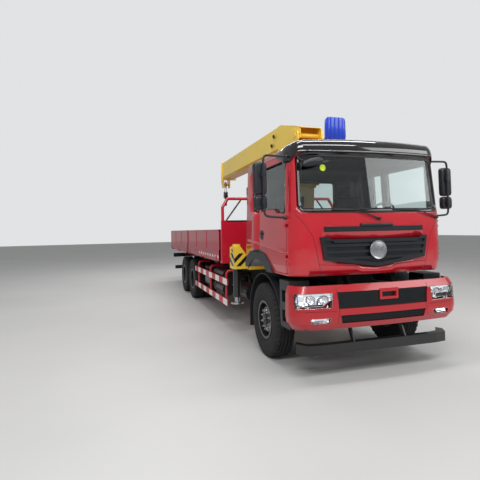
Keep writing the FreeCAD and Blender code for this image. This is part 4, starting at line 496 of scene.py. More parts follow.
CAB_SKIN = tree_of("cab_shell", "door_left", "door_right", "cab_glass", "door_glass_left",
                   "door_glass_right")
BUMPER_SKIN = tree_of("bumper", "bumper_grilles", "front_lamps")
# Places tried in turn where a ray finds a gap
NUDGES = ((0, 0), (0.002, 0), (-0.002, 0), (0, 0.002), (0, -0.002), (0.006, 0), (-0.006, 0),
          (0, -0.02))


def on_front(skin, x, z, off=0.0):
    """The point of the front skin at x, z, moved off it towards the viewer."""
    for dx, dz in NUDGES:
        hit = skin.ray_cast(Vector((x + dx, -7.0, z + dz)), Vector((0, 1, 0)))
        if hit[0] is not None:
            return Vector((x, hit[0].y - off, z))


def on_side(side, y, z, off=0.0):
    """The point of the cab's side at y, z, moved off it outward."""
    for dy, dz in NUDGES:
        hit = CAB_SKIN.ray_cast(Vector((3.0 * side, y + dy, z + dz)), Vector((-side, 0, 0)))
        if hit[0] is not None:
            return Vector((hit[0].x + off * side, y, z))


def dense(points, step=0.05, closed=False):
    """Points along a broken line or a loop, no further apart than about a step."""
    out = []
    for (a, b), (c, d) in zip(points, points[1:] + (points[:1] if closed else points[:0])):
        count = max(1, int(math.hypot(c - a, d - b) / step))
        out += [(a + (c - a) * i / count, b + (d - b) * i / count) for i in range(count)]
    return out if closed else out + [points[-1]]


def rounded_loop(points, radius):
    """A closed polygon with rounded corners, as a list of (u, v)."""
    out, steps = [], 6
    for i in range(len(points)):
        before, here, after = (Vector(points[(i + k) % len(points)]) for k in (-1, 0, 1))
        a = here + (before - here).normalized() * radius
        b = here + (after - here).normalized() * radius
        for t in (j / steps for j in range(steps + 1)):
            out.append(tuple((1 - t) ** 2 * a + 2 * t * (1 - t) * here + t * t * b))
    return out


def rectangle(u0, u1, v0, v1):
    return [(u0, v0), (u1, v0), (u1, v1), (u0, v1)]


# Wheels
TYRE_HALF = 0.14
RIM_RADIUS = 0.2545
TREAD_SEGMENTS = 176
RIB_DEPTH, LUG_DEPTH = 0.013, 0.018
GROOVES = (0.075, 0.028)
# Each wheel row: name, outer face of the disc, hub face
WHEEL_FACES = (("front", 1.104, 1.142), ("mid", 0.994, 1.077), ("rear", 0.994, 1.077))
NUT_COUNT, NUT_CIRCLE = 10, 0.140
BOLT_COUNT, BOLT_CIRCLE = 8, 0.060


def tyre_profile(radius, rim):
    """Section from the inner bead over the tread to the outer bead: (x, radius)."""
    shoulder = [(0.109, rim + 0.002), (0.112, rim + 0.022), (0.126, rim + 0.05),
                (0.137, rim + 0.09), (0.1395, rim + 0.14), (0.138, rim + 0.175),
                (0.1385, rim + 0.18), (0.1345, radius - 0.042), (0.130, radius - 0.026),
                (0.122, radius - 0.010)]
    tread = [(0.112, radius - 0.003), (0.101, radius)]
    for at in GROOVES:
        tread += [(at + 0.006, radius), (at + 0.005, radius - RIB_DEPTH),
                  (at - 0.005, radius - RIB_DEPTH), (at - 0.006, radius)]
    half = shoulder + tread
    return half + [(-x, r) for x, r in reversed(half)], len(shoulder)


def make_tyres():
    """Treaded tyres, the rear ones in pairs; every fourth step cuts the shoulders."""
    for node in sorted(n for n in NODES if n.startswith("tyre_")):
        low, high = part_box(node)
        centre = middle(node)
        single = high[0] - low[0] < 0.4
        profile, start = tyre_profile((high[2] - low[2]) / 2, RIM_RADIUS)
        last = len(profile) - 1
        bm = bmesh.new()
        for x0 in [centre.x] if single else [low[0] + TYRE_HALF, high[0] - TYRE_HALF]:
            rings = []
            for i, (c, s) in enumerate(spokes(TREAD_SEGMENTS)):
                ring = []
                for j, (x, radius) in enumerate(profile):
                    cut = i % 4 == 0 and start - 2 <= min(j, last - j) <= start + 1
                    r = radius - (LUG_DEPTH if cut else 0)
                    ring.append(bm.verts.new((x0 + x, centre.y + r * c, centre.z + r * s)))
                rings.append(ring)
            join_rings(bm, rings, True)
        item = finish_piece(node + "_tread", bm, "tyre_black", node.replace("tyre", "wheel"),
                            35)
        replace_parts(item, node)


def make_wheel_hardware():
    """Wheel nuts on their washers, hub bolts and a hub cap."""
    for row, disc, hub in WHEEL_FACES:
        for name, side in SIDES:
            centre = middle("rim_%s_%s" % (row, name))
            body = "wheel_%s_%s" % (row, name)
            nuts, caps = bmesh.new(), bmesh.new()

            def rod(bm, x0, x1, y, z, *shape, **more):
                add_rod(bm, (side * x0, y, z), (side * x1, y, z), *shape, **more)

            for c, s in spokes(NUT_COUNT, 0.5):
                y, z = centre.y + NUT_CIRCLE * c, centre.z + NUT_CIRCLE * s
                rod(nuts, disc - 0.002, disc + 0.006, y, z, 0.024, 16)
                rod(nuts, disc + 0.005, disc + 0.024, y, z, 0.0185, 6, bevel=0.002)
                rod(nuts, disc + 0.022, disc + 0.040, y, z, 0.010, 10)
            for c, s in spokes(BOLT_COUNT):
                rod(caps, hub - 0.002, hub + 0.008, centre.y + BOLT_CIRCLE * c,
                    centre.z + BOLT_CIRCLE * s, 0.009, 6)
            rod(caps, hub - 0.002, hub + 0.018, centre.y, centre.z, 0.040, 24, tip=0.030,
                bevel=0.003)
            finish_piece(body + "_nuts", nuts, "chrome", body, 30)
            finish_piece(body + "_hub_bolts", caps, "rim_black", body, 30)


# Cab front
def front_moulding(name, half, steps, section):
    """A moulding across the front; section(x) gives (z, height off the skin) points."""
    bm = bmesh.new()
    loft_rows(bm, [[on_front(CAB_SKIN, x, z, off) for z, off in section(x)]
                   for x in (-half + 2 * half * i / steps for i in range(steps + 1))])
    dark_trim(name, bm, smooth=40)


def strip_section(x):
    return (1.800, -0.004), (1.806, 0.010), (1.864, 0.010), (1.870, -0.004)


def grip_section(x):
    swell = 0.018 * math.sqrt(max(0.0, 1 - (x / 0.245) ** 2)) + 0.012
    return (1.866, 0.0), (1.870, swell), (1.888, swell + 0.006), (1.902, swell), (1.905, 0.0)


# Panel splits on the cab's front, as (x, z) points: beside the grille, and across it
SIDE_SPLIT = ((1.085, 2.03), (0.985, 1.90), (0.885, 1.75), (0.825, 1.50), (0.775, 1.262))
LOW_SPLIT = ((-0.80, 1.395), (-0.4, 1.372), (0, 1.345), (0.4, 1.372), (0.80, 1.395))
SCREEN_HALF_LOW, SCREEN_HALF_TOP = 1.065, 1.040
SCREEN_LOW, SCREEN_TOP, SCREEN_ROUND = 2.050, 2.815, 0.09
SEAL_WIDTH = 0.050
# Wipers: pivot, elbow, blade ends, all (x, z) on the screen's front
WIPERS = (
    ((0.03, 1.965), (-0.33, 2.075), (-0.62, 2.085), (0.02, 2.100)),
    ((1.00, 1.975), (0.62, 2.075), (0.28, 2.085), (0.92, 2.100)),
)


# A thin black line: panel seams and splits, and painted shade along the bumper's fold
def seam_and_crease_shade_line(name, places, body, radius=0.0035):
    tube(name, places, radius, "hose_black", body, smooth=False)


def panel_splits():
    for name, points, side in (("left", SIDE_SPLIT, 1), ("right", SIDE_SPLIT, -1),
                               ("low", LOW_SPLIT, 1)):
        seam_and_crease_shade_line("split_" + name, [on_front(CAB_SKIN, x * side, z, -0.0015)
                                    for x, z in dense(points)], "cab")


def screen_seal():
    """Black border band round the windscreen, on the glass and just over its edge."""
    corners = [(-SCREEN_HALF_LOW, SCREEN_LOW), (SCREEN_HALF_LOW, SCREEN_LOW),
               (SCREEN_HALF_TOP, SCREEN_TOP), (-SCREEN_HALF_TOP, SCREEN_TOP)]
    centre = Vector((0, (SCREEN_LOW + SCREEN_TOP) / 2))
    inward = Vector((1 - SEAL_WIDTH / 1.06, 1 - SEAL_WIDTH / 0.38))
    bm = bmesh.new()
    rings = []
    for place in dense(rounded_loop(corners, SCREEN_ROUND), 0.06, True):
        spot = Vector(place)
        inner = (spot - centre) * inward + centre
        aside = SEAL_WIDTH * min(1.0, abs(spot.x) / 1.04) ** 8
        outer = spot + (spot - centre).normalized() * 0.012
        outer.x += math.copysign(aside, spot.x)
        edge = on_front(CAB_SKIN, outer.x, outer.y, 0.004)
        lip = Vector((spot.x, edge.y - 0.002, spot.y))
        pane = on_front(CAB_SKIN, inner.x, inner.y, 0.0025)
        quarter = spot.lerp(inner, 0.25)
        step = Vector((quarter.x, pane.y, quarter.y))
        rings.append([bm.verts.new(p) for p in (edge, lip, step, pane)])
    join_rings(bm, rings, True, loops=False)
    thicken(finish_piece("screen_seal", bm, "gloss_black", "cab", 40), 0.004, 0)


def wipers():
    for index, (pivot, elbow, blade_a, blade_b) in enumerate(WIPERS):
        base = on_front(CAB_SKIN, *pivot)
        bm = bmesh.new()
        add_rod(bm, base + Vector((0, 0.01, 0)), base - Vector((0, 0.035, 0)), 0.022, bevel=0.004)
        tip = on_front(CAB_SKIN, *elbow, 0.040)
        start = base - Vector((0, 0.028, 0))
        mid = start.lerp(tip, 0.45) - Vector((0, 0.012, 0))
        add_rod(bm, start, mid, 0.013, 12, tip=0.009)
        add_rod(bm, mid, tip, 0.008, 10, tip=0.006)
        ends = [on_front(CAB_SKIN, *p, 0.018) for p in (blade_a, elbow, blade_b)]
        for a, b in zip(ends, ends[1:]):
            add_rod(bm, a, b, 0.009, 8)
        add_rod(bm, tip, ends[1], 0.007, 8)
        dark_trim("wiper_%d" % index, bm)


# Grille and bumper openings
MESH_CELL = 0.0145
# Each cell's rim: share of the cell's radius, distance off the skin
CELL_RIM = ((1.0, 0.0), (1.0, -0.008), (0.74, -0.008), (0.74, 0.0))


def honeycomb(name, x_half, low, high):
    """Six-sided mesh over an opening, each cell a rim; the tow hatch's frame stays free."""
    bm = bmesh.new()
    cell, width = MESH_CELL, MESH_CELL * math.sqrt(3)
    for row in range(int((high - low) / (cell * 1.5)) + 2):
        for column in range(int(2 * x_half / width) + 2):
            x = -x_half + column * width + (width / 2 if row % 2 else 0)
            z = low + row * cell * 1.5
            if abs(x) > x_half - cell or z > high - cell * 0.6 or z < low + cell * 0.4:
                continue
            if abs(x - 0.06) < 0.16 and z > 0.93:
                continue
            y = on_front(BUMPER_SKIN, x, z).y
            join_rings(bm, [[bm.verts.new((x + cell * scale * s, y + off, z + cell * scale * c))
                             for c, s in spokes(6)] for scale, off in CELL_RIM])
    dark_trim(name, bm, "chassis", None)


# Lamps
# Bulb bowls behind each lens: x, z, bowl radius
BOWLS = ((0.83, 0.975, 0.070), (1.00, 0.985, 0.062), (0.87, 0.732, 0.026), (0.95, 0.732, 0.026))
BOWL_ANGLES = (0.0, 0.3, 0.6, 0.9, 1.2, 1.45)
# Lamps on the rear bar: look, inner and outer distance from the middle
TAIL_LAMPS = (("lamp_red", 0.98, 1.16), ("lamp_orange", 0.87, 0.97), ("lamp_clear", 0.78, 0.86))


# Which faces of the CAD lamp blocks each skin keeps, by their normal
LAMP_SKINS = (("lens", "lamp_clear", lambda n: n.y < -0.25 or abs(n.x) > 0.8 and n.y < 0.2),
              ("reflector", "reflector", lambda n: n.y > -0.25))


def lamp_clusters():
    """Clear lens skins and faceted reflectors that stand for the CAD lamp blocks."""
    for kind, look, keep in LAMP_SKINS:
        bm = bmesh.new()
        bm.from_mesh(NODES["front_lamps"].data)
        bmesh.ops.remove_doubles(bm, verts=bm.verts, dist=1e-5)
        bm.normal_update()
        bmesh.ops.delete(bm, geom=[f for f in bm.faces if not keep(f.normal)], context="FACES")
        if kind == "reflector":
            bmesh.ops.subdivide_edges(bm, edges=bm.edges[:], cuts=2, use_grid_fill=True)
        item = finish_piece("front_" + kind, bm, look, "chassis", 30)
        thicken(item, 0.004, -1)
        if kind == "lens":
            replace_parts(item, "front_lamps")


def turned_rings(bm, centre, profile, count):
    """Rings of vertices about a line along Y, from (radius, distance along Y) pairs."""
    return [[bm.verts.new((centre.x + r * c, centre.y + dy, centre.z + r * s))
             for c, s in spokes(count)] for r, dy in profile]


def lamp_bowls():
    for name, side in SIDES:
        bm = bmesh.new()
        for x, z, radius in BOWLS:
            spot = on_front(BUMPER_SKIN, x * side, z)
            depth = radius * 0.65
            profile = [(radius * math.cos(a), 0.012 + depth * math.sin(a)) for a in BOWL_ANGLES]
            rings = turned_rings(bm, spot, profile, 28)
            join_rings(bm, rings)
            bm.faces.new(rings[-1])
            add_rod(bm, spot + Vector((0, 0.012 + depth, 0)), spot + Vector((0, 0.020, 0)),
                    radius * 0.2, 14, bevel=0.002)
        finish_piece("lamp_bowls_" + name, bm, "chrome", "chassis", 40)


def tail_lamps():
    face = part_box("rear_bumper")[1][1]
    for name, side in SIDES:
        for look, inner, outer in TAIL_LAMPS:
            bm = bmesh.new()
            add_block(bm, (inner * side, face - 0.002, 0.885), (outer * side, face + 0.022, 0.995),
                      0.008)
            for z in (0.905, 0.935, 0.965):
                add_block(bm, ((inner + 0.008) * side, face + 0.020, z),
                          ((outer - 0.008) * side, face + 0.025, z + 0.014), 0.002)
            finish_piece("tail_%s_%s" % (look, name), bm, look, "chassis", 35)


# Mirrors
MIRROR_X, MIRROR_HALF, MIRROR_Y = 1.460, 0.0875, FRONT_AXLE_Y - 0.800
MIRROR_LOW, MIRROR_SPLIT, MIRROR_TOP = 2.100, 2.292, 2.710
MIRROR_DOME = ((0.006, 0.040), (0.0, 0.033), (0.0, -0.010), (0.005, -0.028), (0.016, -0.040),
               (0.034, -0.045))


def door_mirrors():
    """Two domed housings a side with silvered backs, on a bent tube with clamps."""
    tube_y, tube_x = MIRROR_Y - 0.066, MIRROR_X - 0.024
    low, top = MIRROR_LOW, MIRROR_TOP
    bend = [(MIRROR_X - 0.110, top + 0.082), (tube_x - 0.012, top + 0.076), (tube_x, top + 0.010),
            (tube_x, top - 0.060), (tube_x, low + 0.050), (tube_x, low - 0.010),
            (tube_x - 0.016, low - 0.082), (MIRROR_X - 0.120, low - 0.095)]
    for name, side in SIDES:
        door = "door_" + name
        cases, glass = bmesh.new(), bmesh.new()
        for z0, z1 in ((low, MIRROR_SPLIT - 0.010), (MIRROR_SPLIT, top)):
            rows = []
            for inset, dy in MIRROR_DOME:
                half = MIRROR_HALF - inset
                loop = rounded_loop(rectangle(-half, half, z0 + inset, z1 - inset),
                                    0.050 - inset * 0.6)
                rows.append([(MIRROR_X * side + x, MIRROR_Y + dy, z) for x, z in loop])
            loft_rows(cases, rows)
            face = rounded_loop(rectangle(-0.068, 0.068, z0 + 0.018, z1 - 0.018), 0.035)
            add_prism(glass, [(MIRROR_X * side + x, z) for x, z in face], MIRROR_Y + 0.038,
                      MIRROR_Y + 0.0415, "y")
            z = z1 - 0.165 if z0 > low else (z0 + z1) / 2
            x = tube_x * side
            add_block(cases, (x - 0.034, tube_y - 0.030, z - 0.036),
                      (x + 0.034, MIRROR_Y - 0.036, z + 0.036), 0.012)
            add_rod(cases, (x, tube_y, z - 0.050), (x, tube_y, z + 0.050), 0.024)
        ends = [on_side(side, tube_y + 0.010, z, 0.004) for z in (top + 0.075, low - 0.105)]
        for end in ends:
            add_rod(cases, end - Vector((0.003 * side, 0, 0)), end + Vector((0.022 * side, 0, 0)),
                    0.030, 24, 0.020)
        item = finish_piece("mirror_cases_" + name, cases, "mirror_plastic", door,
                            35)
        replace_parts(item, "mirror_" + name)
        finish_piece("mirror_glass_" + name, glass, "mirror_glass", door, 30)
        path = [ends[0]] + [(x * side, tube_y, z) for x, z in bend] + [ends[1]]
        tube("mirror_tube_" + name, path, 0.0145, "mirror_plastic", door)


def kerb_mirror():
    """Small mirror on an arm from the screen's top right corner."""
    root = on_front(CAB_SKIN, -1.07, 2.86)
    elbow = Vector((-1.02, root.y - 0.14, 2.72))
    head = Vector((-0.86, root.y - 0.20, 2.68))
    arm = [root, (root + elbow) / 2 + Vector((0, -0.03, 0.01)), elbow,
           elbow.lerp(head, 0.5) - Vector((0, 0, 0.012)), head + Vector((0, 0.02, 0.02))]
    tube("kerb_mirror_arm", arm, 0.010, "grille_plastic", "cab")
    bm = bmesh.new()
    bmesh.ops.create_uvsphere(bm, u_segments=32, v_segments=16, radius=1)
    bmesh.ops.scale(bm, vec=(0.155, 0.042, 0.052), verts=bm.verts)
    move(bm, Matrix.Translation(head) @ Matrix.Rotation(math.radians(-14), 4, "Y"))
    dark_trim("kerb_mirror", bm, smooth=60)


# Side guards
GUARD_LOW, GUARD_HIGH = [Vector(c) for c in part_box("side_guards")]
GUARD_RAILS = ((0.420, 0.545), (0.805, 0.930))


def guard_stripes():
    """Reflective red and white film along each guard rail's outer face."""
    for name, side in SIDES:
        bm = bmesh.new()
        for low, high in GUARD_RAILS:
            add_block(bm, ((GUARD_HIGH.x - 0.001) * side, GUARD_LOW.y + 0.001, low + 0.004),
                      ((GUARD_HIGH.x + 0.0025) * side, GUARD_HIGH.y - 0.001, high - 0.004), 0.0008)
        finish_piece("guard_film_" + name, bm, "guard_stripes", "chassis")


def guard_rails():
    """Two rails a side on pipes that bend inward under the bed."""
    start, end = GUARD_LOW.y, GUARD_HIGH.y
    out, back = GUARD_HIGH.x, GUARD_HIGH.x - 0.030
    x = back - 0.022
    route = [(x, 0.415), (x, 0.90), (x, 0.99), (x - 0.02, 1.045), (x - 0.08, 1.060), (0.90, 1.060)]
    for name, side in SIDES:
        bm = bmesh.new()
        for low, high in GUARD_RAILS:
            add_block(bm, (out * side, start, low), (back * side, end, high), 0.004)
        item = finish_piece("guard_rails_" + name, bm, "guard_red", "chassis", 30)
        if side > 0:
            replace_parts(item, "side_guards")
        for index, share in enumerate((0.07, 0.5, 0.93)):
            y = start + (end - start) * share
            tube("guard_post_%s_%d" % (name, index), [(u * side, y, z) for u, z in route], 0.024,
                 "guard_red", "chassis")


# Cab shell and glass
CAB_BACK = -3.495
REAR_HALF, REAR_LOW, REAR_HIGH, REAR_ROUND = 0.490, 2.170, 2.650, 0.06
PANE_Y = (-3.523, -3.513)
DOOR_WINDOW = [(-5.085, 2.06), (-4.855, 2.06), (-4.755, 2.12), (-4.21, 2.12), (-4.21, 2.735),
               (-5.085, 2.735)]
QUARTER_WINDOW = [(-4.08, 2.12), (-3.875, 2.12), (-3.825, 2.25), (-3.825, 2.735), (-4.08, 2.735)]


def changed_copy(node, name, body, changes, flat=False):
    """A copy for a CAD node, after cuts and joins: (operation, bmesh) pairs."""
    item = add_object(name, NODES[node].data.copy())
    tools = []
    for operation, bm in changes:
        tools.append(add_object("tool", mesh_of(bm, "tool")))
        change = item.modifiers.new("change", "BOOLEAN")
        change.operation, change.solver, change.object = operation, "EXACT", tools[-1]
    evaluated = item.evaluated_get(bpy.context.evaluated_depsgraph_get())
    mesh = bpy.data.meshes.new_from_object(evaluated)
    item.modifiers.clear()
    item.data = mesh
    for tool in tools:
        bpy.data.objects.remove(tool)
    if flat:
        mesh.attributes.remove(mesh.attributes["custom_normal"])
        mesh.shade_flat()
    mesh.materials.clear()
    mesh.materials.append(M[look_of(node)])
    for face in mesh.polygons:
        face.material_index = 0
    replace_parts(set_piece(item, body), node)


def rear_window(inset=0.0):
    half = REAR_HALF - inset
    return rounded_loop(rectangle(-half, half, REAR_LOW + inset, REAR_HIGH - inset), REAR_ROUND)


def dress_cab():
    """The cab with one wide rear window, the two small ones blanked off."""
    hole, blanks, panes = bmesh.new(), bmesh.new(), bmesh.new()
    add_prism(hole, rear_window(), CAB_BACK - 0.20, CAB_BACK + 0.10, "y")
    for side in (1, -1):
        add_block(blanks, (0.420 * side, CAB_BACK - 0.058, 2.165),
                  (0.912 * side, CAB_BACK - 0.003, 2.690))
    changed_copy("cab_shell", "cab_body", "cab",
                 (("UNION", blanks), ("DIFFERENCE", hole)))
    panes.from_mesh(NODES["cab_glass"].data)
    gone = [f for f in panes.faces
            if all(v.co.y > PANE_Y[0] - 0.004 and abs(v.co.x) < 1.0 for v in f.verts)]
    bmesh.ops.delete(panes, geom=gone, context="FACES")
    bmesh.ops.delete(panes, geom=[v for v in panes.verts if not v.link_faces], context="VERTS")
    add_prism(panes, rear_window(0.001), *PANE_Y, "y")
    item = finish_piece("cab_panes", panes, "window_glass", "cab", 30, False)
    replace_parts(item, "cab_glass")


def rubber_loop(name, points, radius, body="cab"):
    tube(name, points, radius, "hose_black", body, smooth=False, closed=True)


def window_seals():
    """Rubber round the side and rear windows."""
    for name, side in SIDES:
        for kind, points, body in (("door", DOOR_WINDOW, "door_" + name),
                                   ("quarter", QUARTER_WINDOW, "cab")):
            loop = dense(rounded_loop(points, 0.03), 0.15, True)
            rubber_loop("seal_%s_%s" % (kind, name), [on_side(side, y, z, -0.001) for y, z in loop],
                        0.011, body)
    for name, y in (("out", CAB_BACK), ("in", CAB_BACK - 0.060)):
        rubber_loop("seal_rear_" + name, [(x, y, z) for x, z in rear_window()], 0.013)


# Seats
SEAT_X = (("driver", 0.52), ("mate", -0.52))
FLOOR_Z = 1.31
BACK_LEAN = math.radians(100)


def pad(name, centre, half, lean, channels=()):
    """A crowned cushion, leaned about X: pulled-in sides, a piped seam, sewn channels."""
    bm = bmesh.new()
    bmesh.ops.create_cube(bm, size=2)
    bmesh.ops.subdivide_edges(bm, edges=bm.edges[:], cuts=13, use_grid_fill=True)
    for vert in bm.verts:
        u, v, w = vert.co
        crown = (1 - abs(u) ** 4) * (1 - abs(v) ** 4)
        groove = sum(0.10 * math.exp(-((u - at) / 0.045) ** 2) for at in channels)
        thick = 0.52 + 0.48 * crown ** 0.6 - groove * (1 if w > 0 else 0.3)
        pinch = (1 - min(abs(u), abs(v)) ** 2) * max(abs(u), abs(v)) ** 3
        waist = 1 - 0.035 * (1 - w * w) - 0.02 * pinch
        vert.co = Vector((u * half[0] * waist, v * half[1] * waist, w * half[2] * thick))
    turn = Matrix.Rotation(lean, 4, "X")
    move(bm, Matrix.Translation(centre) @ turn)
    item = finish_piece(name, bm, "seat_fabric", "cab", 60)
    smooth = item.modifiers.new("smooth", "SUBSURF")
    smooth.levels = smooth.render_levels = 1
    seam = [turn @ Vector((u * half[0] * 0.965, v * half[1] * 0.965, 0)) + Vector(centre)
            for u, v in rounded_loop(rectangle(-1, 1, -1, 1), 0.22)]
    rubber_loop(name + "_piping", seam, 0.006)
    return item


def cab_seats():
    """Cushion, back and head rest of both seats, on a plain base."""
    y, z = FRONT_AXLE_Y, FLOOR_Z
    for name, x in SEAT_X:
        cushion = pad("cushion_" + name, (x, y + 0.115, z + 0.395), (0.245, 0.245, 0.075), 0.05,
                      (-0.5, 0.5))
        pad("back_" + name, (x, y + 0.405, z + 0.770), (0.235, 0.300, 0.062), BACK_LEAN,
            (-0.45, 0.45))
        pad("head_" + name, (x, y + 0.470, z + 1.165), (0.125, 0.080, 0.045), BACK_LEAN)
        bm = bmesh.new()
        add_block(bm, (x - 0.195, y - 0.060, z - 0.001), (x + 0.195, y + 0.325, z + 0.335), 0.02)
        for dx in (-0.06, 0.06):
            add_rod(bm, (x + dx, y + 0.445, z + 1.03), (x + dx, y + 0.468, z + 1.14), 0.007, 10)
        add_rod(bm, (x - 0.21, y + 0.345, z + 0.44), (x + 0.21, y + 0.345, z + 0.44), 0.030, 16)
        finish_piece("seat_base_" + name, bm, "dark_plastic", "cab", 35)
        if name == "driver":
            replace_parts(cushion, "cab_seats")


# Visor
VISOR_HALF, VISOR_FLAT = 1.135, 1.100
# Outer face: share of the height, distance off the skin
VISOR_FACE = ((0.0, -0.004), (0.0, 0.030), (0.05, 0.043), (0.16, 0.050), (0.40, 0.054),
              (0.62, 0.050), (0.80, 0.036), (0.92, 0.012), (0.985, -0.030), (1.0, -0.080))
# Back face: distance behind the skin, least depth under the top, greatest height
VISOR_BACK = ((0.150, 0.004, 2.985), (0.215, 0.010, 2.952), (0.200, 0.030, 2.942),
              (0.055, 0.050, 2.90), (0.012, 0.070, 2.84))


def visor_levels(x):
    """Lower and upper edge across the cab: round top corners, drooping ends."""
    wide = abs(x)
    droop = 0.125 * max(0.0, min(1.0, (wide - 1.015) / 0.075)) ** 1.5
    corner = max(0.0, wide - 0.965) / 0.170
    drop = 0.155 * (1 - math.sqrt(max(0.0, 1 - min(1.0, corner) ** 2)))
    return 2.822 - droop, 3.008 - 0.030 * (wide / 1.13) ** 2 - drop


def on_visor(x, skin, share, off):
    low, top = visor_levels(x)
    z = low + (top - low) * share
    return Vector((x, skin - off + max(0.0, z - SCREEN_TOP) * 0.22, z))


def make_visor():
    bm = bmesh.new()
    rows = []
    for i in range(-46, 47):
        x = VISOR_HALF * math.sin(math.pi / 2 * i / 46)
        skin = on_front(CAB_SKIN, max(-VISOR_FLAT, min(VISOR_FLAT, x)), SCREEN_TOP).y
        skin += max(0.0, abs(x) - VISOR_FLAT) * 2.2
        top = visor_levels(x)[1]
        rows.append([on_visor(x, skin, *place) for place in VISOR_FACE])
        rows[-1] += [(x, skin + back, min(top - under, most)) for back, under, most in VISOR_BACK]
    loft_rows(bm, rows)
    item = finish_piece("visor_gloss", bm, "gloss_black", "cab", 50)
    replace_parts(item, "roof_visor")
    # Two thin satin-metal lines along the visor's top and lower edges: painted highlights standing
    # for the ceiling lights' reflections
    for index, place in enumerate(((0.05, 0.046), (0.90, 0.018))):
        line = [on_visor(x, on_front(CAB_SKIN, x, SCREEN_TOP).y, *place)
                for x in (1.02 * i / 20 for i in range(-20, 21))]
        tube("visor_highlight_line_%d" % index, line, 0.006, "satin_metal", "cab")


# Cab sides
def side_ridge(name, side, body, start, end):
    """A raised crease along the side, between two (y, z) points."""
    bm = bmesh.new()
    rows = []
    for t in (i / 16 for i in range(17)):
        y, z = Vector(start).lerp(Vector(end), t)
        swell = 0.007 * min(1.0, 6 * t, 6 * (1 - t)) + 0.001
        section = ((0.030, -0.002), (0.004, swell), (-0.006, swell), (-0.014, -0.002))
        rows.append([on_side(side, y, z + dz, off) for dz, off in section])
    loft_rows(bm, rows)
    finish_piece(name, bm, "cab_red", body, 50)


def cab_sides():
    """Creases, door handles, side markers and the intake duct behind the cab."""
    for name, side in SIDES:
        door = "door_" + name
        side_ridge("crease_" + door, side, door, (-4.155, 1.628), (-5.060, 1.552))
        side_ridge("crease_cab_" + name, side, "cab", (-3.560, 1.675), (-4.125, 1.632))
        bm = bmesh.new()
        x = on_side(side, -4.245, 1.765).x
        outline = rounded_loop([(-4.315, 1.690), (-4.185, 1.705), (-4.175, 1.835),
                                (-4.300, 1.835)], 0.045)
        add_prism(bm, outline, x - 0.010 * side, x + 0.004 * side, "x", 0.0015)
        add_block(bm, (x, -4.300, 1.772), (x + 0.022 * side, -4.192, 1.800), 0.006)
        add_rod(bm, (x, -4.215, 1.735), (x + 0.010 * side, -4.215, 1.735), 0.012, 16, bevel=0.002)
        dark_trim("handle_" + name, bm, door)
        bm = bmesh.new()
        x = on_side(side, -3.640, 1.560).x
        add_block(bm, (x - 0.004 * side, -3.705, 1.545), (x + 0.016 * side, -3.575, 1.595), 0.006)
        finish_piece("side_marker_" + name, bm, "lamp_orange", "cab", 35)
    bm = bmesh.new()
    add_block(bm, (-1.105, CAB_BACK - 0.003, 1.86), (-0.955, CAB_BACK + 0.105, 2.58), 0.018)
    for z in (2.44, 2.47, 2.50, 2.53):
        add_block(bm, (-1.112, CAB_BACK + 0.020, z), (-1.100, CAB_BACK + 0.095, z + 0.016), 0.003)
    finish_piece("intake_duct", bm, "dark_plastic", "cab", 35)


# Front details
BOSS_Z, BOSS_TIP, BOSS_SIDES = 1.562, -0.022, 64
BOSS = ((0.118, 0.002), (0.124, -0.010), (0.118, -0.018), (0.106, -0.016), (0.098, -0.012),
        (0.060, -0.019))
# Bumper lines as (x, z) ends: the fold, painted shade along the crease, then the end split above
# and below it
BUMPER_FOLDS = (((0.675, 0.842), (1.195, 0.858)), ((0.665, 1.118), (0.640, 0.842)),
                ((0.640, 0.842), (0.655, 0.700)))


def front_details():
    """A plain boss on the grille and a plain dot on the screen."""
    centre = Vector((0, on_front(tree_of("front_grille"), 0.0, BOSS_Z).y, BOSS_Z))
    bm = bmesh.new()
    rings = turned_rings(bm, centre, BOSS, BOSS_SIDES)
    tip = bm.verts.new(centre + Vector((0, BOSS_TIP, 0)))
    join_rings(bm, rings)
    for k in range(BOSS_SIDES):
        bm.faces.new((rings[-1][k], rings[-1][(k + 1) % BOSS_SIDES], tip))
    bm.faces.new(list(reversed(rings[0])))
    finish_piece("grille_boss", bm, "satin_metal", "cab", 30)
    spot = on_front(CAB_SKIN, -0.70, 2.62, 0.0015)
    slope = on_front(CAB_SKIN, -0.70, 2.70).y - on_front(CAB_SKIN, -0.70, 2.54).y
    bm = bmesh.new()
    bmesh.ops.create_cone(bm, cap_ends=True, segments=32, radius1=0.043, radius2=0.043,
                          depth=0.002)
    move(bm, Matrix.Translation(spot)
         @ Matrix.Rotation(math.pi / 2 - math.atan2(slope, 0.16), 4, "X"))
    finish_piece("screen_dot", bm, "warning_dot", "cab", 30)


def bumper_creases():
    """Dark lines: the fold between the lamp band and the fog lamp band, painted shade along its
    crease, and the bumper's end splits.
    """
    for name, side in SIDES:
        for index, points in enumerate(BUMPER_FOLDS):
            line = [on_front(BUMPER_SKIN, x * side, z, -0.001) for x, z in dense(points, 0.04)]
            seam_and_crease_shade_line("bumper_fold_%s_%d" % (name, index), line, "chassis", 0.003)


# Drop sides
GATE_OUTER, GATE_PANEL, GATE_RIB = 1.270, 1.15, 0.034
GATE_LEDGE = (1.432, 1.456)
HINGE_X, HINGE_Z = 1.262, 1.245
HOOK_Z = 1.352
HOOK = ((-0.002, -0.045), (0.014, -0.045), (0.014, 0.045), (-0.002, 0.045))
# White dashes, clear of the bed's hinge lugs when the side hangs down
DASH_Z, DASH_X, DASH_PITCH = (1.294, 1.344), (1.2695, 1.2708), 0.235


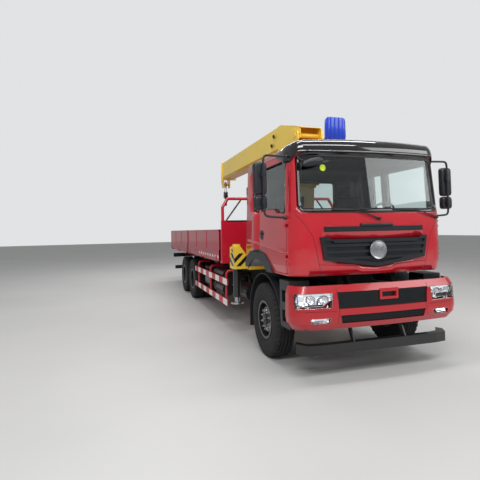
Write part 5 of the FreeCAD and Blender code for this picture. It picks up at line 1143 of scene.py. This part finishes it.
def make_gate(node, side):
    """A drop side: flanges and ribs round shallow panels, a ledge, hinges and rope hooks."""
    low, high = [Vector(c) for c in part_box(node)]
    y0, y1, z0, z1 = low.y, high.y, low.z, high.z
    inner, outer = sorted((abs(low.x), abs(high.x)))
    outer = min(outer, GATE_OUTER)
    count = max(1, round((y1 - y0) / GATE_PANEL))
    pitch = (y1 - y0 - GATE_RIB) / count
    bm = bmesh.new()

    def block(x0, x1, ya, yb, za, zb, bevel=0.003):
        add_block(bm, (x0 * side, ya, za), (x1 * side, yb, zb), bevel)

    block(inner, outer - 0.007, y0, y1, z0, z1, 0.002)
    block(inner + 0.010, outer, y0, y1, z0, 1.462)
    block(inner + 0.010, outer, y0, y1, z1 - 0.037, z1)
    for y in (y0 + pitch * i for i in range(count + 1)):
        block(inner + 0.010, outer, y, y + GATE_RIB, z0, z1)
    block(outer - 0.004, outer + 0.008, y0, y1, *GATE_LEDGE)
    for share in (0.08, 0.5, 0.92):
        y = y0 + (y1 - y0) * share
        block(outer - 0.002, outer + 0.009, y - 0.030, y + 0.030, z0 + 0.012, z0 + 0.080)
        add_rod(bm, (HINGE_X * side, y - 0.045, HINGE_Z), (HINGE_X * side, y + 0.045, HINGE_Z),
                0.0082, 14)
    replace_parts(finish_piece(node + "_panel", bm, "bed_red", node, 30), node)
    for index in range(count):
        for quarter in (1, 3):
            y = y0 + GATE_RIB + pitch * index + (pitch - GATE_RIB) * quarter / 4
            hook = [((outer + off) * side, y + dy, HOOK_Z) for off, dy in HOOK]
            tube("%s_hook_%d_%d" % (node, index, quarter), hook, 0.0055, "bed_red", node,
                 smooth=False)


def drop_sides():
    for name, side in SIDES:
        for row in ("front", "rear"):
            make_gate("gate_%s_%s" % (name, row), side)
    z0, z1 = DASH_Z
    for name, side in SIDES:
        node = "gate_%s_front" % name
        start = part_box(node)[0][1] + 0.05
        bm = bmesh.new()
        for y in (start + DASH_PITCH * i for i in range(9)):
            add_prism(bm, [(y, z0), (y + 0.100, z0), (y + 0.135, z1), (y + 0.035, z1)],
                      *[x * side for x in DASH_X])
        finish_piece("gate_dashes_" + name, bm, "white_paint", node)


# Crane
# The boom head slopes down to the pivot: (y, z) from the tube's top to the tail
HEAD_SLOPE = ((-2.820, 3.830), (-3.490, 3.635), (-3.640, 3.600))
BOOM_FACE = 0.2205


def outrigger_cases():
    """A plate on each outrigger end, with two black discs as painted shade where its two openings
    are.
    """
    for name, side in SIDES:
        case, hole_shade = bmesh.new(), bmesh.new()
        add_prism(case, rectangle(-2.961, -2.659, 1.162, 1.528), 1.2045 * side, 1.2125 * side,
                  "x", 0.001)
        for z in (1.475, 1.375):
            add_rod(hole_shade, (1.205 * side, -2.81, z), (1.2145 * side, -2.81, z), 0.032, 24)
        body = "beam_" + name
        finish_piece("jack_case_" + name, case, "jack_yellow", body, 30)
        finish_piece("jack_hole_shade_" + name, hole_shade, "hose_black", body, 30)


def dress_boom():
    """The outer boom section with its head sloping down under a top plate."""
    (y0, z0), (y1, z1), (y2, z2) = HEAD_SLOPE
    above, plate = bmesh.new(), bmesh.new()
    add_prism(above, [(y0, z0 + 0.002), (y1, z1), (y2, z2), (y2 - 0.2, z2 - 0.05),
                      (y2 - 0.2, 4.1), (y0, 4.1)], -0.32, 0.32)
    add_prism(plate, [(y0 + 0.02, z0 - 0.001), (y1, z1), (y2, z2), (y2, z2 - 0.013),
                      (y1, z1 - 0.013), (y0 + 0.02, z0 - 0.014)], -0.2055, 0.2055)
    changed_copy("boom_base", "boom_outer", "boom",
                 (("DIFFERENCE", above), ("UNION", plate)), flat=True)


def boom_fittings():
    """Black slot-shaped plates on the outer section's sides: painted shade for the slots' dark
    insides.
    """
    for name, side in SIDES:
        bm = bmesh.new()
        for y, z in ((-2.49, 3.680), (-2.37, 3.520)):
            outline = [(y - 0.05, z - 0.035), (y + 0.03, z - 0.035), (y + 0.06, z + 0.035),
                       (y - 0.02, z + 0.035)]
            add_prism(bm, rounded_loop(outline, 0.018), (BOOM_FACE - 0.004) * side,
                      (BOOM_FACE + 0.012) * side, "x", 0.0015)
        finish_piece("boom_slot_shade_" + name, bm, "hose_black", "boom", 30)


def operator_seat():
    """Moulded bucket seat: a ribbed back and pan in one shell."""
    low, high = [Vector(c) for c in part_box("operator_seat")]
    x0, x1 = low.x + 0.010, high.x - 0.010
    back, seat = low.y + 0.034, low.z + 0.050
    bm = bmesh.new()
    rows = []
    for u in (i / 44 for i in range(45)):
        wide = abs(2 * u - 1)
        rim = 0.030 * wide ** 6
        rib = 0.011 * max(0.0, math.cos(10 * math.pi * u)) if 0.06 < u < 0.94 else 0
        thin = rib * 0.6
        drop = 0.055 * max(0.0, (wide - 0.72) / 0.28) ** 2
        top, front = high.z - drop, high.y - drop
        inner = [(front - 0.004, seat + 0.006 + rim), (front - 0.06, seat + rib + rim),
                 (back + 0.12, seat - 0.006 + rib + rim), (back + 0.050 + rib, seat + 0.040 + rim),
                 (back + 0.020 + rib + rim, seat + 0.13), (back + 0.004 + rib + rim, top - 0.05),
                 (back - 0.006 + rim, top)]
        outer = [(back - 0.020 + rim, top - 0.002), (back - 0.020 + thin + rim, top - 0.06),
                 (back + 0.002 + thin, seat + 0.10), (back + 0.040, seat + 0.004 + thin),
                 (back + 0.12, seat - 0.026 + rim), (front - 0.06, seat - 0.018 + rim),
                 (front, seat - 0.010 + rim)]
        rows.append([(x0 + (x1 - x0) * u, y, z) for y, z in inner + outer])
    loft_rows(bm, rows)
    for x in (x0 + 0.10, x1 - 0.10):
        add_block(bm, (x - 0.02, back + 0.06, low.z), (x + 0.02, high.y - 0.10, low.z + 0.052),
                  0.003)
    item = finish_piece("bucket_seat", bm, "seat_blue", "slew", 50)
    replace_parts(item, "operator_seat")


make_tyres()
make_wheel_hardware()
front_moulding("front_strip", 0.74, 24, strip_section)
front_moulding("front_grip", 0.24, 12, grip_section)
panel_splits()
screen_seal()
wipers()
honeycomb("mesh_upper", 0.63, 0.880, 1.062)
honeycomb("mesh_lower", 0.60, 0.700, 0.785)
lamp_clusters()
lamp_bowls()
door_mirrors()
kerb_mirror()
guard_stripes()
dress_cab()
window_seals()
cab_seats()
make_visor()
cab_sides()
front_details()
drop_sides()
guard_rails()
outrigger_cases()
dress_boom()
operator_seat()
bumper_creases()
tail_lamps()
boom_fittings()


# Camera, light, floor
# Fitted to the photograph, which is squeezed to 0.75 of its width.
CAMERA_PLACE = (-3.21, FRONT_AXLE_Y - 5.66, 1.85)
YAW, PITCH, ROLL = math.radians(16.9), math.radians(2.3), math.radians(-1.1)
SENSOR_MM, FOCAL_PX, FRAME_PX, CENTRE_Y_PX = 36, 405.7, 480.0, 213.5
# The sky's strength as light, in reflections, and as the seen background
SKY_LIGHT, SKY_GLOSS, SKY_SEEN = 0.36, 0.42, 0.86
SKY_COLOUR, FLOOR_COLOUR, FLOOR_REACH = (0.88, 0.89, 0.90, 1), (0.62, 0.62, 0.61), 60.0
# Area lights: name, place, target, size, power
LIGHTS = [("key", (-7, -13, 9), (0, -3, 1.5), (6, 3), 620),
          ("fill", (8, -12, 6), (0, -3, 1.5), (6, 4), 260)]
LIGHTS += [("roof_%d" % i, (0, 6 * i - 11, 8.5), (0, 6 * i - 9, 0), (8, 0.7), 260)
           for i in range(4)]


def make_camera():
    data = bpy.data.cameras.new("camera")
    data.sensor_width = SENSOR_MM
    data.lens = SENSOR_MM * FOCAL_PX / FRAME_PX
    data.shift_y = (CENTRE_Y_PX - FRAME_PX / 2) / FRAME_PX
    camera = add_object("camera", data)
    camera.matrix_world = Matrix.Translation(CAMERA_PLACE) @ Matrix.Rotation(-YAW, 4, "Z") \
        @ Matrix.Rotation(math.pi / 2 + PITCH, 4, "X") @ Matrix.Rotation(ROLL, 4, "Z")
    bpy.context.scene.camera = camera


def make_lights():
    for name, place, target, size, power in LIGHTS:
        data = bpy.data.lights.new(name, "AREA")
        data.shape = "RECTANGLE"
        data.size, data.size_y = size
        data.energy = power
        lamp = add_object(name, data)
        lamp.location = place
        away = Vector(target) - Vector(place)
        lamp.rotation_euler = away.to_track_quat("-Z", "Y").to_euler()


def make_stage():
    mesh = bpy.data.meshes.new("floor")
    corners = rectangle(-FLOOR_REACH, FLOOR_REACH, -FLOOR_REACH, FLOOR_REACH)
    mesh.from_pydata([(x, y, 0) for x, y in corners], [], [(0, 1, 2, 3)])
    floor = add_object("floor", mesh)
    tree, shader = new_material("floor", FLOOR_COLOUR, 0.5)
    vary_colour(tree, shader, FLOOR_COLOUR, 0.4, 0.04)
    mesh.materials.append(M["floor"])
    world = bpy.data.worlds.new("world")
    world.use_nodes = True
    bpy.context.scene.world = world
    tree = world.node_tree
    sky = tree.nodes["Background"].inputs
    sky["Color"].default_value = SKY_COLOUR
    ray = add_node(tree, "LightPath", {}).outputs
    seen = calc(tree, "MAXIMUM", ray["Is Camera Ray"], ray["Is Transmission Ray"])
    glossy = calc(tree, "MULTIPLY", ray["Is Glossy Ray"], SKY_GLOSS - SKY_LIGHT)
    strength = calc(tree, "ADD", calc(tree, "MULTIPLY", seen, SKY_SEEN - SKY_LIGHT), SKY_LIGHT)
    tree.links.new(calc(tree, "ADD", strength, glossy), sky["Strength"])


make_camera()
make_stage()
make_lights()
bpy.context.scene.view_settings.view_transform = "Standard"

bpy.context.view_layer.update()
